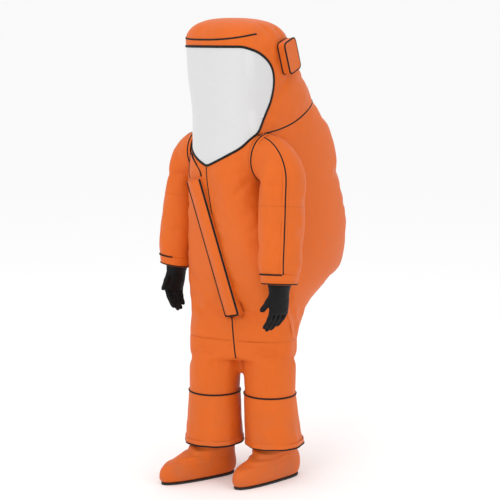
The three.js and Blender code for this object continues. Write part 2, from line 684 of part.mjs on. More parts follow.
const chainEnd = zipLength - CHAIN.end;
let chain = strip(-CHAIN.core, CHAIN.core, CHAIN.low, CHAIN.high - CHAIN.recess, CHAIN.end, chainEnd);
const teeth = Math.floor((chainEnd - CHAIN.end) / CHAIN.pitch);
for (let i = 0; i < teeth; i++) {
  const z = CHAIN.end + CHAIN.pitch * (i + 0.5);
  chain = chain.add(
    strip(-CHAIN.half, CHAIN.half, CHAIN.low, CHAIN.high, z - CHAIN.tooth / 2, z + CHAIN.tooth / 2),
  );
}
const sliderTop = chainEnd - 1;
const sliderLow = sliderTop - SLIDER.length;
const slider = strip(-SLIDER.half, SLIDER.half, SLIDER.low, SLIDER.high, sliderLow, sliderTop).subtract(
  strip(-SLIDER.slot, SLIDER.slot, 0, SLIDER.top, sliderLow - PROUD, sliderTop + PROUD),
);
const pullTop = sliderTop - PULL.set;
const pull = strip(-PULL.half, PULL.half, PULL.low, PULL.high, pullTop - PULL.length, pullTop);
const stop = (z) => strip(-STOP.half, STOP.half, STOP.low, STOP.high, z, z + STOP.length);

// Half of the arch's inner line, from the crown to the foot, raised by `wall` for the outer one.
function arch(wall) {
  const span = STORM_FLAP.half - STORM_FLAP.foot;
  const points = [];
  for (let i = 0; i <= 6; i++) {
    const angle = (i / 6) * (Math.PI / 2);
    points.push([Math.sin(angle) * (span + wall), Math.cos(angle) * STORM_FLAP.arch + wall]);
  }
  return points;
}
function stormFlapShape() {
  const { half, wall } = STORM_FLAP;
  const gripTop = 3 * GAP + 2 * GRIP_STRIP.thickness;
  const hinge = GAP;
  const outerLine = arch(wall);
  const innerLine = arch(0);
  const rest = (y, low) => Math.max(y, low);
  const points = [];
  for (const [x, y] of [...outerLine].reverse()) points.push([-x, rest(y, gripTop + wall)]);
  for (const [x, y] of outerLine.slice(1)) points.push([x, rest(y, hinge + wall)]);
  points.push([half, hinge + wall], [half, hinge]);
  for (const [x, y] of [...innerLine].reverse()) points.push([x, rest(y, hinge)]);
  for (const [x, y] of innerLine.slice(1)) points.push([-x, rest(y, gripTop)]);
  points.push([-half, gripTop], [-half, gripTop + wall]);
  return new THREE.Shape(points.map(([x, y]) => new THREE.Vector2(x, y)));
}
const stormFlap = solidOf(
  new THREE.ExtrudeGeometry(stormFlapShape(), { depth: zipLength, bevelEnabled: false }),
);
const gripAt = (low) => {
  const { at, half, thickness, end } = GRIP_STRIP;
  return strip(at - half, at + half, low, low + thickness, end, zipLength - end);
};
const placketTop = zipLength + PLACKET.end;
const placketBlock = strip(-PLACKET.half, PLACKET.half, -PLACKET.depth, 0, -PLACKET.end, placketTop);

// ---- Assembly ----

const suit = new THREE.Group();

// Only the body of a boolean's result that is the piece: crumbs where facets cross are dropped.
function piece(name, solid, finish) {
  const bodies = solid.decompose().sort((a, b) => b.volume() - a.volume());
  const mesh = new THREE.Mesh(geometryOf(bodies[0].simplify(FACET_MERGE)), finish);
  mesh.name = name;
  suit.add(mesh);
}

function pair(name, solid, finish) {
  piece(`${name}_left`, solid, finish);
  piece(`${name}_right`, mirrored(solid), finish);
}

const panels = splitFront(torso);
const chest = splitSides(panels.front);
piece("hood", hood, SUIT_FABRIC);
piece("torso_front_left", chest.left, SUIT_FABRIC);
piece("torso_front_right", chest.right, SUIT_FABRIC);
piece("torso_back", panels.back, SUIT_FABRIC);

const visorSheet = bodySolid(-VISOR_INSET)
  .subtract(bodySolid(-VISOR_INSET - VISOR_THICKNESS))
  .intersect(visorTool(-GAP / 2));
piece("visor", visorSheet, VISOR_SHEET);
const visorSeal = bodySolid(GAP + VISOR_SEAL_THICKNESS)
  .subtract(grown)
  .intersect(visorTool(VISOR_SEAL_WIDTH))
  .subtract(visorTool(-VISOR_SEAL_WIDTH))
  .subtract(armhole(-GAP, 120, ARMHOLE_X + PROUD))
  .subtract(armhole(-GAP, -120, -ARMHOLE_X - PROUD));
piece("visor_seal", visorSeal, BLACK_RUBBER);

const legShell = legTube("left", SOCK_TOP + GAP, hipTop, legRadius)
  .add(legTube("right", SOCK_TOP + GAP, hipTop, legRadius))
  .add(outer.intersect(belowHip))
  .subtract(legTube("left", SOCK_TOP - PROUD, hipTop, (z) => legRadius(z) - FABRIC))
  .subtract(legTube("right", SOCK_TOP - PROUD, hipTop, (z) => legRadius(z) - FABRIC))
  .subtract(inner);
const legs = splitSides(legShell);
piece("leg_left", legs.left, SUIT_FABRIC);
piece("leg_right", legs.right, SUIT_FABRIC);

for (const side of ["left", "right"]) {
  const sockOuter = footSolid(side, SOLE_THICKNESS, SOCK_TOP, 0, 8);
  const lowered = (z) => Math.min(z + FABRIC, SOCK_TOP);
  const sockInner = footSolid(side, SOLE_THICKNESS + FABRIC, SOCK_TOP + PROUD, -FABRIC, 8, lowered);
  piece(`sock_${side}`, sockOuter.subtract(sockInner), SUIT_FABRIC);
  const sole = footSolid(side, 0, SOLE_THICKNESS - GAP, SOLE_EDGE, 1, () => SOLE_THICKNESS);
  piece(`sole_${side}`, sole, BLACK_RUBBER);

  const flapAt = (z) => through(FLAP_RADII, "radius", z);
  const legAround = legTube(side, 200, 400, (z) => legRadius(z) + GAP, 20, 4);
  const flapInner = legTube(side, FLAP_HEM.high - PROUD, FLAP_SEAM.low, (z) => flapAt(z) - FABRIC);
  const flap = legTube(side, FLAP_HEM.high + GAP, FLAP_SEAM.high, flapAt)
    .subtract(flapInner)
    .subtract(legAround);
  piece(`boot_flap_${side}`, flap, SUIT_FABRIC);
  const hemOuter = legTube(side, FLAP_HEM.low, FLAP_HEM.high, (z) => flapAt(z) + HEM_LIP, 20, 1);
  const hemInner = legTube(
    side, FLAP_HEM.low - PROUD, FLAP_HEM.high + PROUD, (z) => flapAt(z) - FABRIC - HEM_LIP, 20, 1,
  );
  piece(`boot_hem_${side}`, hemOuter.subtract(hemInner), TRIM_TAPE);
}

pair("sleeve_upper", sleeve.intersect(aboveElbow), SUIT_FABRIC);
pair("elbow", sleeve.subtract(elbowTool(1, -GAP)).subtract(elbowTool(-1, -GAP)), SUIT_FABRIC);
pair("sleeve_lower", sleeveLower, SUIT_FABRIC);
pair("cuff", cuff, SUIT_FABRIC);
const gloveRing = ring(RING.radius - RING.wall, RING.radius, RING.low, RING.high);
pair("glove_ring", moved(gloveRing, wrist), GREY_PLASTIC);
pair("glove", moved(glove, wrist), BLACK_RUBBER);
const clampInner = collarOuter + GAP;
const lugHalf = CLAMP_LUG.across / 2;
const clampRing = drum(clampInner + CLAMP.wall, CLAMP.low, CLAMP.high)
  .add(strip(-lugHalf, lugHalf, 0, clampInner + CLAMP_LUG.out, CLAMP.low, CLAMP.high))
  .subtract(drum(clampInner, CLAMP.low - PROUD, CLAMP.high + PROUD));
pair("glove_clamp", moved(clampRing, wrist), ZIP_METAL);

pair("valve_cover", valveCover, SUIT_FABRIC);
pair("valve_seat", valveSeat, BLACK_RUBBER);
pair("valve_disc", valveDisc, SILICONE);
pair("valve_nut", valveNut, GREY_PLASTIC);

const onZip = (solid) => moved(solid, zipFrame);
piece("zip_placket", onZip(placketBlock).subtract(grown), SUIT_FABRIC);
const tape = strip(-TAPE.half, TAPE.half, TAPE.low, TAPE.high, TAPE.end, zipLength - TAPE.end);
piece("zip_tape", onZip(tape), WEBBING);
piece("zip_chain", onZip(chain), ZIP_METAL);
piece("zip_stop_bottom", onZip(stop(CHAIN.end - GAP - STOP.length)), ZIP_METAL);
piece("zip_stop_top", onZip(stop(chainEnd + GAP)), ZIP_METAL);
piece("zip_slider", onZip(slider), ZIP_METAL);
piece("zip_pull", onZip(pull), WEBBING);
piece("storm_flap", onZip(stormFlap), SUIT_FABRIC);
piece("grip_strip_placket", onZip(gripAt(GAP)), WEBBING);
piece("grip_strip_flap", onZip(gripAt(2 * GAP + GRIP_STRIP.thickness)), WEBBING);
const collarBand = bodySolid(GAP + COLLAR_FLAP_WALL)
  .subtract(grown)
  .intersect(frontTool(COLLAR_FLAP, -500, 0));
piece("storm_flap_top", collarBand, SUIT_FABRIC);

// The origin goes to the floor, under the middle of the suit's box.
suit.updateMatrixWorld(true);
const around = new THREE.Box3().setFromObject(suit, true);
const middle = around.getCenter(new THREE.Vector3());
for (const mesh of suit.children) mesh.geometry.translate(-middle.x, -middle.y, -around.min.z);

export default suit;
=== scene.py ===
# %% [markdown]
# # A gas-tight chemical protective suit
# The real suit is one airtight bag of coated fabric with a hood, a clear visor, fixed gloves and
# boot socks. It is cut in flat panels, stitched, and every seam is covered with a welded tape.
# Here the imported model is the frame: it says where each part is and which body it rides on. The
# soft parts are made again as smooth fabric that lies in the same place.

import math

import bmesh
import bpy
from mathutils import Matrix, Vector, noise
from mathutils.bvhtree import BVHTree
from mathutils.kdtree import KDTree


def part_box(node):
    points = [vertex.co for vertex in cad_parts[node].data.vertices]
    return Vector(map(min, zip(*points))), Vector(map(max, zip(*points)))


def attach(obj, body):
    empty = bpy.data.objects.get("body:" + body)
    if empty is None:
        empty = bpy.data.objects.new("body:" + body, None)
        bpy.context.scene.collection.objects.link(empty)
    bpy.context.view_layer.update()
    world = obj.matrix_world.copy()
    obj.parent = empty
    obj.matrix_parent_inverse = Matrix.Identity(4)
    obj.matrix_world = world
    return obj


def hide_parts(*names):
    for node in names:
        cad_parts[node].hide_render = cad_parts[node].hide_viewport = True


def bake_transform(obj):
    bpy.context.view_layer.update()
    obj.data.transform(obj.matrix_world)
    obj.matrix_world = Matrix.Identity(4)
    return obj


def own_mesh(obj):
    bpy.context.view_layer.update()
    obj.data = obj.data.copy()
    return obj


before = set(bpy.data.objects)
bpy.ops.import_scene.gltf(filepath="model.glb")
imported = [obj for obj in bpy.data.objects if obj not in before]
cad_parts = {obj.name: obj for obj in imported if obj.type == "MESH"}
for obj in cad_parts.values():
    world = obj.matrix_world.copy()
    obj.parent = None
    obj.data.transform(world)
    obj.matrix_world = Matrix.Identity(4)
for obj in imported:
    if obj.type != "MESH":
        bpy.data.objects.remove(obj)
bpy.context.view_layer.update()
SIDES = {"left": 1, "right": -1}

# %% [markdown]
# ## Camera, floor and light
# The camera stands to the suit's front left, level with the top of the hood and far
# away, so that the outlines stay almost parallel. A long lens does that. A small shift puts the
# suit where it stands in the frame without turning the camera. The light is soft and comes
# from large panels, so that the fabric shows its shape without hard shadows.

# %% Camera
CAMERA_PLACE = Vector((4.4431, -3.8911, 1.850))
CAMERA_TARGET = Vector((0.0, -0.103, 0.950))

camera = bpy.data.objects.new("camera", bpy.data.cameras.new("camera"))
bpy.context.scene.collection.objects.link(camera)
camera.location = CAMERA_PLACE
camera.rotation_mode = "QUATERNION"
camera.rotation_quaternion = (CAMERA_TARGET - CAMERA_PLACE).to_track_quat("-Z", "Y")
camera.data.lens = 103.68
camera.data.shift_x = 0.016
camera.data.shift_y = 0.005
bpy.context.scene.camera = camera
print("camera", round((CAMERA_TARGET - CAMERA_PLACE).length, 2), "m away")


# %% Light
def panel_light(name, place, size, watts, target=CAMERA_TARGET):
    """A square light panel that faces the target."""
    data = bpy.data.lights.new(name, "AREA")
    data.size = size
    data.energy = watts
    light = bpy.data.objects.new(name, data)
    bpy.context.scene.collection.objects.link(light)
    light.location = place
    light.rotation_mode = "QUATERNION"
    light.rotation_quaternion = (target - Vector(place)).to_track_quat("-Z", "Y")
    return light


panel_light("key", (1.6, -4.6, 3.6), 2.6, 62)
panel_light("fill", (4.8, 0.6, 2.4), 3.0, 22)
panel_light("top", (0.0, 0.0, 4.6), 3.5, 22)
world = bpy.data.worlds.new("studio")
world.use_nodes = True
world.node_tree.nodes["Background"].inputs["Color"].default_value = (1.0, 1.0, 1.0, 1.0)
world.node_tree.nodes["Background"].inputs["Strength"].default_value = 0.95
bpy.context.scene.world = world
bpy.context.scene.view_settings.view_transform = "Standard"

# %% [markdown]
# ## Writing materials as sums
# A material is a small sum: a grain here, a mask there. `Paint` holds one material, and its
# `node` method adds any node. What comes out is a `Value`, which can be added and multiplied in
# Python, and each sum becomes a Math node.


# %% A value in a material
class Value:
    """A socket that takes part in Python sums."""

    def __init__(self, paint, socket):
        self.paint = paint
        self.socket = socket

    def sum(self, operation, first, second):
        return self.paint.node("ShaderNodeMath", {"operation": operation}, {0: first, 1: second})

    def __add__(self, other):
        return self.sum("ADD", self, other)

    def __sub__(self, other):
        return self.sum("SUBTRACT", self, other)

    def __rsub__(self, other):
        return self.sum("SUBTRACT", other, self)

    def __mul__(self, other):
        return self.sum("MULTIPLY", self, other)

    __radd__ = __add__
    __rmul__ = __mul__


# %% A material
class Paint:
    """One material and its nodes."""

    def __init__(self, name):
        self.material = bpy.data.materials.new(name)
        self.material.use_nodes = True
        self.tree = self.material.node_tree
        self.shader = self.tree.nodes["Principled BSDF"]
        self.place = self.node("ShaderNodeTexCoord", output="Object")

    def node(self, kind, settings=None, inputs=None, output=0):
        made = self.tree.nodes.new(kind)
        for key, value in (settings or {}).items():
            setattr(made, key, value)
        for key, value in (inputs or {}).items():
            self.feed(made.inputs[key], value)
        return Value(self, made.outputs[output])

    def feed(self, socket, value):
        if isinstance(value, Value):
            self.tree.links.new(value.socket, socket)
        else:
            socket.default_value = value

    def set(self, **sockets):
        """Sets the shader's own sockets: set(Base_Color=..., Roughness=...)."""
        for key, value in sockets.items():
            self.feed(self.shader.inputs[key.replace("_", " ")], value)

    def noise(self, scale, detail=3.0, stretch=(1, 1, 1)):
        at = self.node("ShaderNodeMapping", inputs={0: self.place, 3: stretch})
        return self.node("ShaderNodeTexNoise", inputs={"Vector": at, "Scale": scale, "Detail": detail})

    def mix(self, factor, first, second):
        """A colour between two colours."""
        sockets = {0: factor, 6: first, 7: second}
        return self.node("ShaderNodeMix", {"data_type": "RGBA"}, sockets, output=2)

    def remap(self, value, low, high, to_low=0.0, to_high=1.0):
        sockets = {0: value, 1: low, 2: high, 3: to_low, 4: to_high}
        return self.node("ShaderNodeMapRange", inputs=sockets)

    def bump(self, height, depth, strength=1.0):
        sockets = {"Height": height, "Distance": depth, "Strength": strength}
        self.set(Normal=self.node("ShaderNodeBump", inputs=sockets))


def shade(colour, factor):
    return tuple(c * factor for c in colour[:3]) + (1.0,)


# %% [markdown]
# ## The fabric's finish
# The fabric is a woven base with a rubbery coating. Close up the weave shows through the coating
# as a fine plaid of ribs about a millimetre apart, and the hollows between the ribs are painted a
# little darker as painted shade. Further away the colour drifts a little where the coat is thicker,
# and it dulls and darkens slightly near the floor, where the suit is dragged and knelt in. The weave
# lies along two directions of whichever face is looked at, so three plaids are blended by the way
# the face points.


# %% Weave
def weave(paint, pitch):
    """Fine woven ribs on any face, from 0 to 1, from the object's own coordinates."""
    axes = paint.node("ShaderNodeSeparateXYZ", inputs={0: paint.place})
    facing = paint.node("ShaderNodeNewGeometry", output="Normal")
    normal = paint.node("ShaderNodeSeparateXYZ", inputs={0: facing})
    ribs, sides = [], []
    for i in range(3):
        along = Value(paint, axes.socket.node.outputs[i])
        ribs.append(paint.node("ShaderNodeMath", {"operation": "SINE"}, {0: along * (math.tau / pitch)}))
        way = Value(paint, normal.socket.node.outputs[i])
        sides.append(way * way)
    plaid = ribs[1] * ribs[2] * sides[0] + ribs[0] * ribs[2] * sides[1] + ribs[0] * ribs[1] * sides[2]
    return plaid * 0.5 + 0.5


def coated_fabric(name, colour, pitch=0.0016, rough=0.52, grime=0.22):
    paint = Paint(name)
    ribs = weave(paint, pitch)
    drift = paint.noise(3.2, 4.0)
    rubs = paint.remap(paint.noise(34.0, 6.0, (1, 1, 0.35)), 0.56, 0.74)
    height = paint.node("ShaderNodeSeparateXYZ", inputs={0: paint.place}, output=2)
    low = paint.remap(height, 0.0, 0.42, 1.0, 0.0) * paint.remap(paint.noise(11.0, 5.0), 0.38, 0.66)
    base = paint.mix(drift, shade(colour, 0.90), shade(colour, 1.08))
    worn = paint.mix(rubs * 0.16, base, shade(colour, 1.35))
    dusty = paint.mix(low * grime, worn, (0.19, 0.15, 0.12, 1.0))
    # Painted shade: the weave's hollows, where the ribs are low, are darkened a little.
    weave_hollow_shade = paint.mix((1 - ribs) * 0.10, dusty, shade(colour, 0.55))
    paint.set(Base_Color=weave_hollow_shade, Roughness=rubs * 0.12 + ribs * 0.06 + rough)
    paint.set(Coat_Roughness=0.42, Sheen_Weight=0.05, Sheen_Roughness=0.5, Specular_IOR_Level=0.24)
    paint.set(Coat_Weight=0.03)
    grain = paint.noise(420.0, 3.0)
    paint.bump(ribs * 0.6 + grain * 0.5 + paint.noise(26.0, 3.0) * 5.0, 0.0003)
    return paint.material


ORANGE = (0.680, 0.122, 0.006, 1.0)
INK = (0.008, 0.007, 0.006, 1.0)
suit_fabric = coated_fabric("suit_fabric", ORANGE)
cover_fabric = coated_fabric("cover_fabric", shade(ORANGE, 0.97), pitch=0.0013)
seam_tape = coated_fabric("seam_tape", shade(ORANGE, 1.03), pitch=0.0011, rough=0.42)
print("fabrics", suit_fabric.name, cover_fabric.name, seam_tape.name)

# %% [markdown]
# ## Rubber, plastic, metal, webbing and the visor's sheet
# The dark bindings and gloves are moulded or dipped rubber: nearly black, with a fine pebble and
# a dull shine where they are handled. The zip is brass, worn bright on the teeth. The visor is a
# clear laminate which looks pale grey against the light lining of the hood, with faint wiping
# scratches in its coat.


# %% Other finishes
def rubber(name, colour, pebble, rough=0.5, worn=0.5, shine=0.38):
    paint = Paint(name)
    rubs = paint.remap(paint.noise(22.0, 6.0), 0.5, 0.75)
    dust = paint.remap(paint.noise(7.0, 4.0), 0.45, 0.7)
    light = shade(colour, 2.6)
    paint.set(Base_Color=paint.mix(rubs * worn, colour, light))
    paint.set(Roughness=rubs * 0.15 + dust * 0.1 + rough, Specular_IOR_Level=shine)
    grain = paint.node("ShaderNodeTexVoronoi", inputs={"Vector": paint.place, "Scale": pebble})
    paint.bump(grain + paint.noise(pebble * 0.2, 4.0) * 1.5, 0.0004)
    return paint.material


def metal(name, colour, rough=0.3, brushed=(1, 1, 14)):
    paint = Paint(name)
    streaks = paint.noise(160.0, 4.0, brushed)
    stain = paint.remap(paint.noise(30.0, 5.0), 0.45, 0.75)
    paint.set(Base_Color=paint.mix(stain * 0.6, colour, shade(colour, 0.35)), Metallic=1.0)
    paint.set(Roughness=streaks * 0.18 + stain * 0.2 + rough)
    paint.bump(streaks, 0.0002)
    return paint.material


def webbing_cloth(name, colour):
    paint = Paint(name)
    ribs = weave(paint, 0.0022)
    # Painted light and shade: the ribs' tops are painted lighter and their hollows darker.
    paint.set(Base_Color=paint.mix(ribs, shade(colour, 0.5), shade(colour, 1.5)))
    paint.set(Roughness=0.85 - ribs * 0.1, Sheen_Weight=0.3)
    paint.bump(ribs + paint.noise(300.0) * 0.6, 0.0006)
    return paint.material


def visor_sheet_finish():
    paint = Paint("visor_sheet")
    wipes = paint.remap(paint.noise(60.0, 8.0, (0.25, 1, 2.4)), 0.55, 0.8)
    drift = paint.noise(2.4, 2.0)
    clean = paint.mix(drift, (0.585, 0.585, 0.59, 1.0), (0.63, 0.63, 0.635, 1.0))
    paint.set(Base_Color=paint.mix(wipes * 0.25, clean, (0.48, 0.48, 0.48, 1.0)))
    paint.set(Roughness=wipes * 0.18 + 0.16, Specular_IOR_Level=0.5)
    paint.set(Coat_Weight=0.35, Coat_Roughness=0.06)
    paint.bump(paint.noise(5.0, 2.0) + wipes * 0.04, 0.0012)
    return paint.material


binding = rubber("binding", INK, 900.0, 0.6, 0.2, 0.2)
glove_rubber = rubber("glove_rubber", (0.0045, 0.0045, 0.005, 1.0), 700.0, 0.55, 0.3, 0.16)
sole_rubber = rubber("sole_rubber", (0.020, 0.019, 0.018, 1.0), 420.0, 0.7, 0.7)
valve_rubber = rubber("valve_rubber", (0.016, 0.016, 0.017, 1.0), 800.0, 0.5)
valve_silicone = rubber("valve_silicone", (0.62, 0.59, 0.52, 1.0), 900.0, 0.4, 0.05)
grey_plastic = rubber("grey_plastic", (0.075, 0.082, 0.088, 1.0), 1200.0, 0.38, 0.15)
clamp_steel = metal("clamp_steel", (0.62, 0.63, 0.64, 1.0), 0.25)
zip_metal = metal("zip_metal", (0.62, 0.42, 0.16, 1.0), 0.28)
webbing = webbing_cloth("webbing", (0.020, 0.020, 0.022, 1.0))
visor_sheet = visor_sheet_finish()
lining = coated_fabric("lining", (0.55, 0.50, 0.42, 1.0), pitch=0.0014, rough=0.6, grime=0.0)
floor_paint = Paint("floor")
floor_paint.set(Base_Color=(1.0, 1.0, 1.0, 1.0), Roughness=1.0, Specular_IOR_Level=0.0)
print("materials", len(bpy.data.materials))

# %% [markdown]
# ## Tubes, meshes and pieces
# Almost every part of a garment is a tube: the body, the sleeves, the legs. `tube` takes a
# cylinder with many rings and lays each ring where the pattern says. `made_object` turns a mesh
# into an object with its finish, `subdivided` smooths it, and `walled` gives it a thickness.


# %% Making helpers
def tube(sides, rows, place):
    """A closed tube whose rings are laid by place(turn, along). Turn 0 is the front (-Y)."""
    bm = bmesh.new()
    bmesh.ops.create_cone(
        bm, cap_ends=True, cap_tris=False, segments=sides, radius1=1, radius2=1, depth=1
    )
    upright = [e for e in bm.edges if abs(e.verts[0].co.z - e.verts[1].co.z) > 0.5]
    bmesh.ops.subdivide_edges(bm, edges=upright, cuts=rows - 1)
    for v in bm.verts:
        v.co = place(math.atan2(v.co.x, -v.co.y), v.co.z + 0.5)
    bm.normal_update()
    bmesh.ops.recalc_face_normals(bm, faces=bm.faces)
    return bm


# %% Objects, remeshing and joining
def made_object(name, bm, *materials):
    """An object in the scene from a bmesh, shaded smooth."""
    mesh = bpy.data.meshes.new(name)
    bm.to_mesh(mesh)
    bm.free()
    mesh.polygons.foreach_set("use_smooth", [True] * len(mesh.polygons))
    for material in materials:
        mesh.materials.append(material)
    made = bpy.data.objects.new(name, mesh)
    bpy.context.scene.collection.objects.link(made)
    return made


def with_modifiers(obj):
    """The mesh with its modifiers applied, as a bmesh; the object is removed."""
    evaluated = obj.evaluated_get(bpy.context.evaluated_depsgraph_get())
    bm = bmesh.new()
    bm.from_mesh(evaluated.to_mesh())
    evaluated.to_mesh_clear()
    bpy.data.objects.remove(obj)
    return bm


def remeshed(bm, voxel, smooth=4):
    """One closed skin round everything in the mesh."""
    obj = made_object("remesh", bm)
    change = obj.modifiers.new("remesh", "REMESH")
    change.mode = "VOXEL"
    change.voxel_size = voxel
    bm = with_modifiers(obj)
    for _ in range(smooth):
        bmesh.ops.smooth_vert(
            bm, verts=bm.verts, factor=0.5, use_axis_x=True, use_axis_y=True, use_axis_z=True
        )
    return bm


def joined(*parts):
    """Several meshes in one."""
    bm = bmesh.new()
    for piece in parts:
        mesh = bpy.data.meshes.new("piece")
        piece.to_mesh(mesh)
        piece.free()
        bm.from_mesh(mesh)
        bpy.data.meshes.remove(mesh)
    return bm


# %% Finishing a piece
def subdivided(obj, levels=1):
    change = obj.modifiers.new("smooth", "SUBSURF")
    change.levels = levels
    change.render_levels = levels
    return obj


FABRIC = 0.0025  # the panels' wall, with the lining


def walled(obj, thickness):
    """A wall that grows inwards from the surface."""
    change = obj.modifiers.new("wall", "SOLIDIFY")
    change.thickness = thickness
    change.offset = -1.0
    return obj


def part(obj, body, slot, *nodes):
    """Gives a finished object its body and hides the frame's nodes that it stands for; its slot is not
    used.
    """
    if body:
        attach(obj, body)
    if nodes:
        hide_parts(*nodes)
    return obj


print("a fabric panel is", FABRIC * 1000, "mm thick")

# %% [markdown]
# ## The pattern of the body
# A pattern cutter's table gives the body as level sections: how wide it is, how far it reaches to
# the front and to the back, and how far it turns, because the right leg stands forward. The back
# is deep, since the suit goes over a breathing set. Between the sections every measure runs
# smoothly, and above the brow the hood closes over in a soft dome.

# %% Body pattern
MM = 0.001
MIDDLE_Y = -0.163  # the garment's own middle line, in the frame
KEYS = ("z", "middle", "side", "front", "back", "turn", "square")
BODY = [
    dict(zip(KEYS, row))
    for row in (
        (520, 62, 222, 107, 112, 35, 2.5),
        (610, 62, 226, 98, 214, 28, 2.6),
        (700, 56, 232, 76, 326, 19, 2.8),
        (755, 42, 238, 68, 408, 13, 3.0),
        (800, 31, 243, 67, 496, 10, 3.1),
        (845, 24, 245, 68, 570, 7, 3.2),
        (920, 12, 246, 72, 592, 4, 3.4),
        (1070, 6, 226, 92, 590, 0, 3.4),
        (1250, 5, 190, 126, 562, 0, 3.0),
        (1355, 5, 184, 132, 540, 0, 2.3),
        (1450, 5, 184, 131, 496, 0, 2.2),
        (1540, 5, 176, 134, 420, 0, 2.4),
        (1670, 5, 184, 142, 326, 0, 2.8),
        (1796, 5, 188, 147, 240, 0, 2.9),
        (1892, 5, 188, 147, 216, 0, 2.9),
    )
]
BODY_LOW, DOME_START, BODY_TOP = 520, 1796, 1892  # millimetres, like the table
DOME_SQUARENESS = 2.6
BACK_SQUARENESS = 2.2
print("body from", BODY_LOW, "to", BODY_TOP, "mm in", len(BODY), "sections")


def through(stations, key, z):
    """A value that runs smoothly through a list of stations."""
    last = len(stations) - 1
    if z <= stations[0]["z"]:
        return stations[0][key]
    if z >= stations[last]["z"]:
        return stations[last][key]
    i = next(n for n, s in enumerate(stations) if s["z"] > z) - 1
    before, low, high, after = (stations[min(max(k, 0), last)] for k in (i - 1, i, i + 1, i + 2))
    span = high["z"] - low["z"]
    t = (z - low["z"]) / span

    def slope(p, q):
        return 0 if q["z"] == p["z"] else (q[key] - p[key]) / (q["z"] - p["z"])

    start, end = slope(before, high) * span, slope(low, after) * span
    return (
        (2 * t**3 - 3 * t**2 + 1) * low[key]
        + (t**3 - 2 * t**2 + t) * start
        + (3 * t**2 - 2 * t**3) * high[key]
        + (t**3 - t**2) * end
    )


# %% A point of the body
def power(value, squareness):
    return math.copysign(abs(value) ** (2 / squareness), value)


def body_point(turn, z, grow=0.0):
    """A point of the body's skin, in metres; z and grow are in millimetres."""
    rise = min(1, max(0, (z - DOME_START) / (BODY_TOP + grow - DOME_START)))
    closing = max(0, 1 - rise**DOME_SQUARENESS) ** (1 / DOME_SQUARENESS)
    sine, cosine = math.sin(turn), math.cos(turn)
    square = through(BODY, "square", z) if cosine > 0 else BACK_SQUARENESS
    depth = through(BODY, "front" if cosine > 0 else "back", z) + grow
    x = (through(BODY, "side", z) + grow) * closing * power(sine, square)
    y = -depth * closing * power(cosine, square)
    angle = math.radians(through(BODY, "turn", z))
    return Vector(
        (
            (x * math.cos(angle) - y * math.sin(angle)) * MM,
            (through(BODY, "middle", z) + x * math.sin(angle) + y * math.cos(angle)) * MM + MIDDLE_Y,
            z * MM,
        )
    )


def body_tube(low, sides, rows, dome_rows, grow=0.0):
    """The body's closed skin from a height up to its top."""
    straight = rows / (rows + dome_rows)

    def place(turn, along):
        if along <= straight:
            return body_point(turn, low + (DOME_START - low) * along / straight, grow)
        arc = (along - straight) / (1 - straight) * math.pi / 2
        rise = math.sin(arc) ** (2 / DOME_SQUARENESS)
        return body_point(turn, DOME_START + (BODY_TOP + grow - DOME_START) * min(rise, 0.9999), grow)

    return tube(sides, rows + dome_rows, place)


hump = body_point(math.pi, 1070).y - body_point(0, 1070).y
print("from the front to the hump's back", round(hump, 3), "m")

# %% [markdown]
# ## The legs' pattern
# Each leg is a plain tube round its own middle line. The left foot stands behind the right one.

# %% Leg pattern
LEG_SPINE = {
    "left": [
        dict(zip(("z", "x", "y"), row))
        for row in ((96, 101, 184), (150, 101, 152), (358, 98, 129), (560, 96, 124))
    ],
    "right": [
        dict(zip(("z", "x", "y"), row))
        for row in ((96, -101, -4), (150, -101, -8), (358, -98, -6), (560, -96, 0))
    ],
}
LEG_RADII = [
    dict(zip(("z", "radius"), row))
    for row in ((96, 84), (176, 88), (358, 103), (520, 106), (560, 90))
]
SOCK_TOP, HIP_SEAM = 176, 600


def leg_middle(side, z):
    spine = LEG_SPINE[side]
    return Vector((through(spine, "x", z) * MM, through(spine, "y", z) * MM + MIDDLE_Y, z * MM))


def leg_tube(side, low, high, radius_at, sides, rows):
    def place(turn, along):
        z = low + (high - low) * along
        out = Vector((math.sin(turn), -math.cos(turn), 0)) * radius_at(z) * MM
        return leg_middle(side, z) + out

    return tube(sides, rows, place)


def leg_radius(z):
    return through(LEG_RADII, "radius", z)


print("ankles", [[round(c, 3) for c in leg_middle(side, 150)] for side in SIDES])

# %% [markdown]
# ## Seams as lines
# A seam is a line on the cloth. Each is found on the pattern first: the neck seam runs round the
# hood's foot, and the visor's edge is an oval seen from the side with a pointed chin seen from
# the front. Later every line is laid down on the finished cloth.

# %% Seam lines
NECK_SEAM = ((-190, 1428), (0, 1446), (190, 1486), (430, 1592))
VISOR_SIDE = (
    (-85, 1788), (-8, 1762), (52, 1716), (72, 1655), (60, 1576),
    (20, 1504), (-15, 1450), (-58, 1398), (-104, 1336),
)
VISOR_LOWER = ((0, 1316), (53, 1337), (110, 1366), (156, 1400), (190, 1462))
VISOR_TOP = 1788
print("the neck seam rises from", NECK_SEAM[0][1], "to", NECK_SEAM[-1][1], "mm")


def spline(points, count):
    """Points on a smooth curve through the given ones."""
    out = []
    last = len(points) - 1
    for n in range(count + 1):
        place = n / count * last
        i = min(int(place), last - 1)
        t = place - i
        p = [points[min(max(k, 0), last)] for k in (i - 1, i, i + 1, i + 2)]
        out.append(
            tuple(
                0.5
                * (
                    2 * p[1][k]
                    + (p[2][k] - p[0][k]) * t
                    + (2 * p[0][k] - 5 * p[1][k] + 4 * p[2][k] - p[3][k]) * t**2
                    + (3 * p[1][k] - p[0][k] - 3 * p[2][k] + p[3][k]) * t**3
                )
                for k in (0, 1)
            )
        )
    return out


def solved(test, low, high):
    """Where a rising test crosses 0, between low and high."""
    for _ in range(40):
        middle = (low + high) / 2
        low, high = (middle, high) if test(middle) < 0 else (low, middle)
    return low


